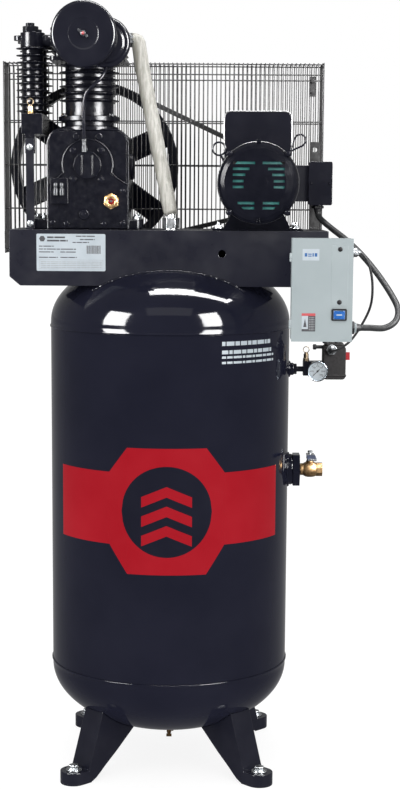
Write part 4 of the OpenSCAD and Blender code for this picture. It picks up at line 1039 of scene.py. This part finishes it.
# ---------------------------------------------------------------- pressure switch group
case = Shape()
case.prism("y", rounded(391, 449, 1005, 1091, 9, 6), -30, 30)
case.prism("y", rounded(389.5, 450.5, 1012, 1018, 2, 3), -31, 31)
case.prism("z", rounded(396, 444, -25, 25, 6), 1090, 1097)
case.lathe("y", 412, 1082, [(0, -32), (9, -32), (9, -28), (0, -28)], 32)
case.make("switch_case", STATIC, grained_black, bevel=2.2, replaces=["pressure_switch"])
hub = Shape()
hub.lathe("z", 400, -8, [(0, 1096), (9, 1096), (10, 1097), (10, 1104), (8, 1105), (0, 1105)], 28)
hub.hexagon("z", 400, -8, 19, 1104, 1110)
hub.lathe("z", 428, -4, [(0, 1096), (7, 1096), (7, 1103), (5, 1105), (0, 1105)], 28)
hub.tube([(400, -8, 1108), (399, -10, 1114), (390, -14, 1119), (376, -18, 1121), (362, -22, 1121)], 4.2, 12)
hub.tube([(373, 0, 1086), (384, 0, 1086), (392, 0, 1086)], 4.6, 12)
hub.lathe("x", 0, 1086, [(0, 366), (6, 366), (7, 368), (7, 374), (5, 375), (0, 375)], 24)
hub.make("switch_fittings", STATIC, plastic_black, bevel=0.4)
GX, GZ = 376, 1028
gauge = Shape()
gauge.lathe("y", GX, GZ, [(0, -27), (13, -27), (13, -31), (22, -31.5), (25, -33), (25.6, -36), (25.6, -51),
                          (26, -52), (26, -53.4), (25, -54.4), (23.8, -54), (23.4, -52.6), (23.4, -49.4),
                          (0, -49.4)], 72)
gauge.slot = 1
gauge.lathe("y", GX, GZ, [(0, -49.7), (23.3, -49.7), (23.3, -49.3), (0, -49.3)], 64)
gauge.slot = 2
for i in range(31):
    a = math.radians(225 - 9 * i)
    r0, wide = (16.0, 0.55) if i % 5 == 0 else (18.2, 0.3)
    c, s = math.cos(a), math.sin(a)
    ends = ((r0, -wide), (21, -wide), (21, wide), (r0, wide))
    corners = [(GX + r * c - w * s, GZ + r * s + w * c) for r, w in ends]
    gauge.prism("y", corners, -49.86, -49.6)
gauge.make("gauge_body", STATIC, [chrome, dial_white, print_dark],
           replaces=["gauge_case"], angle=70)
numbers = []
for k in range(7):
    a = math.radians(225 - 45 * k)
    text = bpy.data.curves.new("number", "FONT")
    text.body = str(50 * k)
    text.size = 0.0058
    text.extrude = 0.00008
    text.align_x = "CENTER"
    text.align_y = "CENTER"
    item = bpy.data.objects.new("number", text)
    scene.collection.objects.link(item)
    item.location = at(GX + 12.8 * math.cos(a), -49.82, GZ + 12.8 * math.sin(a))
    item.rotation_euler = (math.radians(90), 0, 0)
    numbers.append(item)
bpy.context.view_layer.update()
dial = bmesh.new()
graph = bpy.context.evaluated_depsgraph_get()
for item in numbers:
    mesh = item.evaluated_get(graph).to_mesh()
    part = bmesh.new()
    part.from_mesh(mesh)
    part.transform(item.matrix_world)
    temporary = bpy.data.meshes.new("temporary")
    part.to_mesh(temporary)
    part.free()
    dial.from_mesh(temporary)
    bpy.data.meshes.remove(temporary)
    item.evaluated_get(graph).to_mesh_clear()
for item in numbers:
    bpy.data.objects.remove(item)
mesh = bpy.data.meshes.new("dial_numbers")
dial.to_mesh(mesh)
dial.free()
mesh.materials.append(print_dark)
numbers_piece = bpy.data.objects.new("dial_numbers", mesh)
scene.collection.objects.link(numbers_piece)
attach(numbers_piece, STATIC)

# ---------------------------------------------------------------- outlet
valve = Shape()
valve.lathe("x", 0, 768, [(9, 304), (13.2, 304), (13.2, 338), (15.5, 339), (15.5, 346), (17, 347.5),
                          (19.2, 352), (20.4, 358), (20.4, 368), (19.2, 374), (17.2, 379), (9, 379)], 56,
            closed=True)
valve.hexagon("x", 0, 768, 27, 337, 345)
outline = disc_points(0, 768, 17 / math.cos(math.pi / 8), 8, math.pi / 8)
inner = disc_points(0, 768, 13.2, 8, math.pi / 8)
ends = ((outline, 378), (outline, 395), (inner, 395), (inner, 381))
valve.loft([[(x, u, v) for u, v in ring] for ring, x in ends], closed=True)
valve.lathe("z", 363, 0, [(0, 784), (10, 784), (10, 790), (8.4, 791.5), (8.4, 796), (9.4, 797), (9.4, 801),
                          (6.6, 802.5), (5, 805), (0, 805)], 32)
valve.hexagon("z", 363, 0, 17, 796.5, 801.5)
valve.make("outlet_valve_body", STATIC, brass, bevel=0.7, replaces=["ball_valve"], angle=30)
grip = Shape()
grip.prism("y", rounded(351.4, 374.6, 804.6, 811.8, 2.6), -99, -46)
grip.make("handle_grip", "valve_handle", handle_blue, bevel=0.6)

# ---------------------------------------------------------------- stage and light
floor_mesh = bpy.data.meshes.new("floor")
ground = bmesh.new()
bmesh.ops.create_grid(ground, x_segments=2, y_segments=2, size=300.0)
ground.to_mesh(floor_mesh)
ground.free()
floor = bpy.data.objects.new("floor", floor_mesh)
scene.collection.objects.link(floor)
pale = painted("floor_pale", (0.2, 0.2, 0.2), (0.22, 0.22, 0.22), (0.7, 0.8), peel=0.0, spread=1.5,
               specular=0.05)
glow = pale.node_tree.nodes["Principled BSDF"]
glow.inputs["Emission Color"].default_value = (1.0, 1.0, 1.0, 1.0)


def dim_in_reflections(tree, target, bright, dim):
    """The floor and backdrop stay white but show dimmer in gloss, as dark flags round the object would do."""
    ray = tree.nodes.new("ShaderNodeLightPath")
    dimmer = tree.nodes.new("ShaderNodeMapRange")
    dimmer.inputs["To Min"].default_value = bright
    dimmer.inputs["To Max"].default_value = dim
    tree.links.new(ray.outputs["Is Glossy Ray"], dimmer.inputs["Value"])
    tree.links.new(dimmer.outputs["Result"], target)


dim_in_reflections(pale.node_tree, glow.inputs["Emission Strength"], 0.85, 0.12)
floor_mesh.materials.append(pale)
floor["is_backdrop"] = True

world = bpy.data.worlds.new("studio")
scene.world = world
world.use_nodes = True
world.node_tree.nodes["Background"].inputs["Color"].default_value = (1.0, 1.0, 1.0, 1.0)
dim_in_reflections(world.node_tree, world.node_tree.nodes["Background"].inputs["Strength"], 1.0, 0.42)


def softbox(name, place, target, width, height, radiance, diffuse=False):
    """An area light; without diffuse it only shows as a reflection, as a distant strip would."""
    light = bpy.data.lights.new(name, "AREA")
    light.shape = "RECTANGLE"
    light.size = width
    light.size_y = height
    light.energy = radiance * math.pi * width * height
    item = bpy.data.objects.new(name, light)
    scene.collection.objects.link(item)
    item.location = place
    item.rotation_euler = (Vector(target) - Vector(place)).to_track_quat("-Z", "Y").to_euler()
    item.visible_diffuse = diffuse
    return item


softbox("left_softbox", (-2.2, -1.74, 2.15), (0, -0.2, 1.6), 1.15, 1.65, 110)
softbox("right_softbox", (2.0, -1.98, 2.2), (0, -0.2, 1.6), 1.45, 1.75, 110)
softbox("ceiling_strip", (0.8, -0.19, 3.76), (0.8, -0.19, 1.2), 2.8, 0.5, 110)
softbox("key_fill", (0.0, -3.2, 4.2), (0, 0, 1.3), 3.0, 1.5, 2.0, diffuse=True)
scene.view_settings.view_transform = "Standard"

low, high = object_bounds()
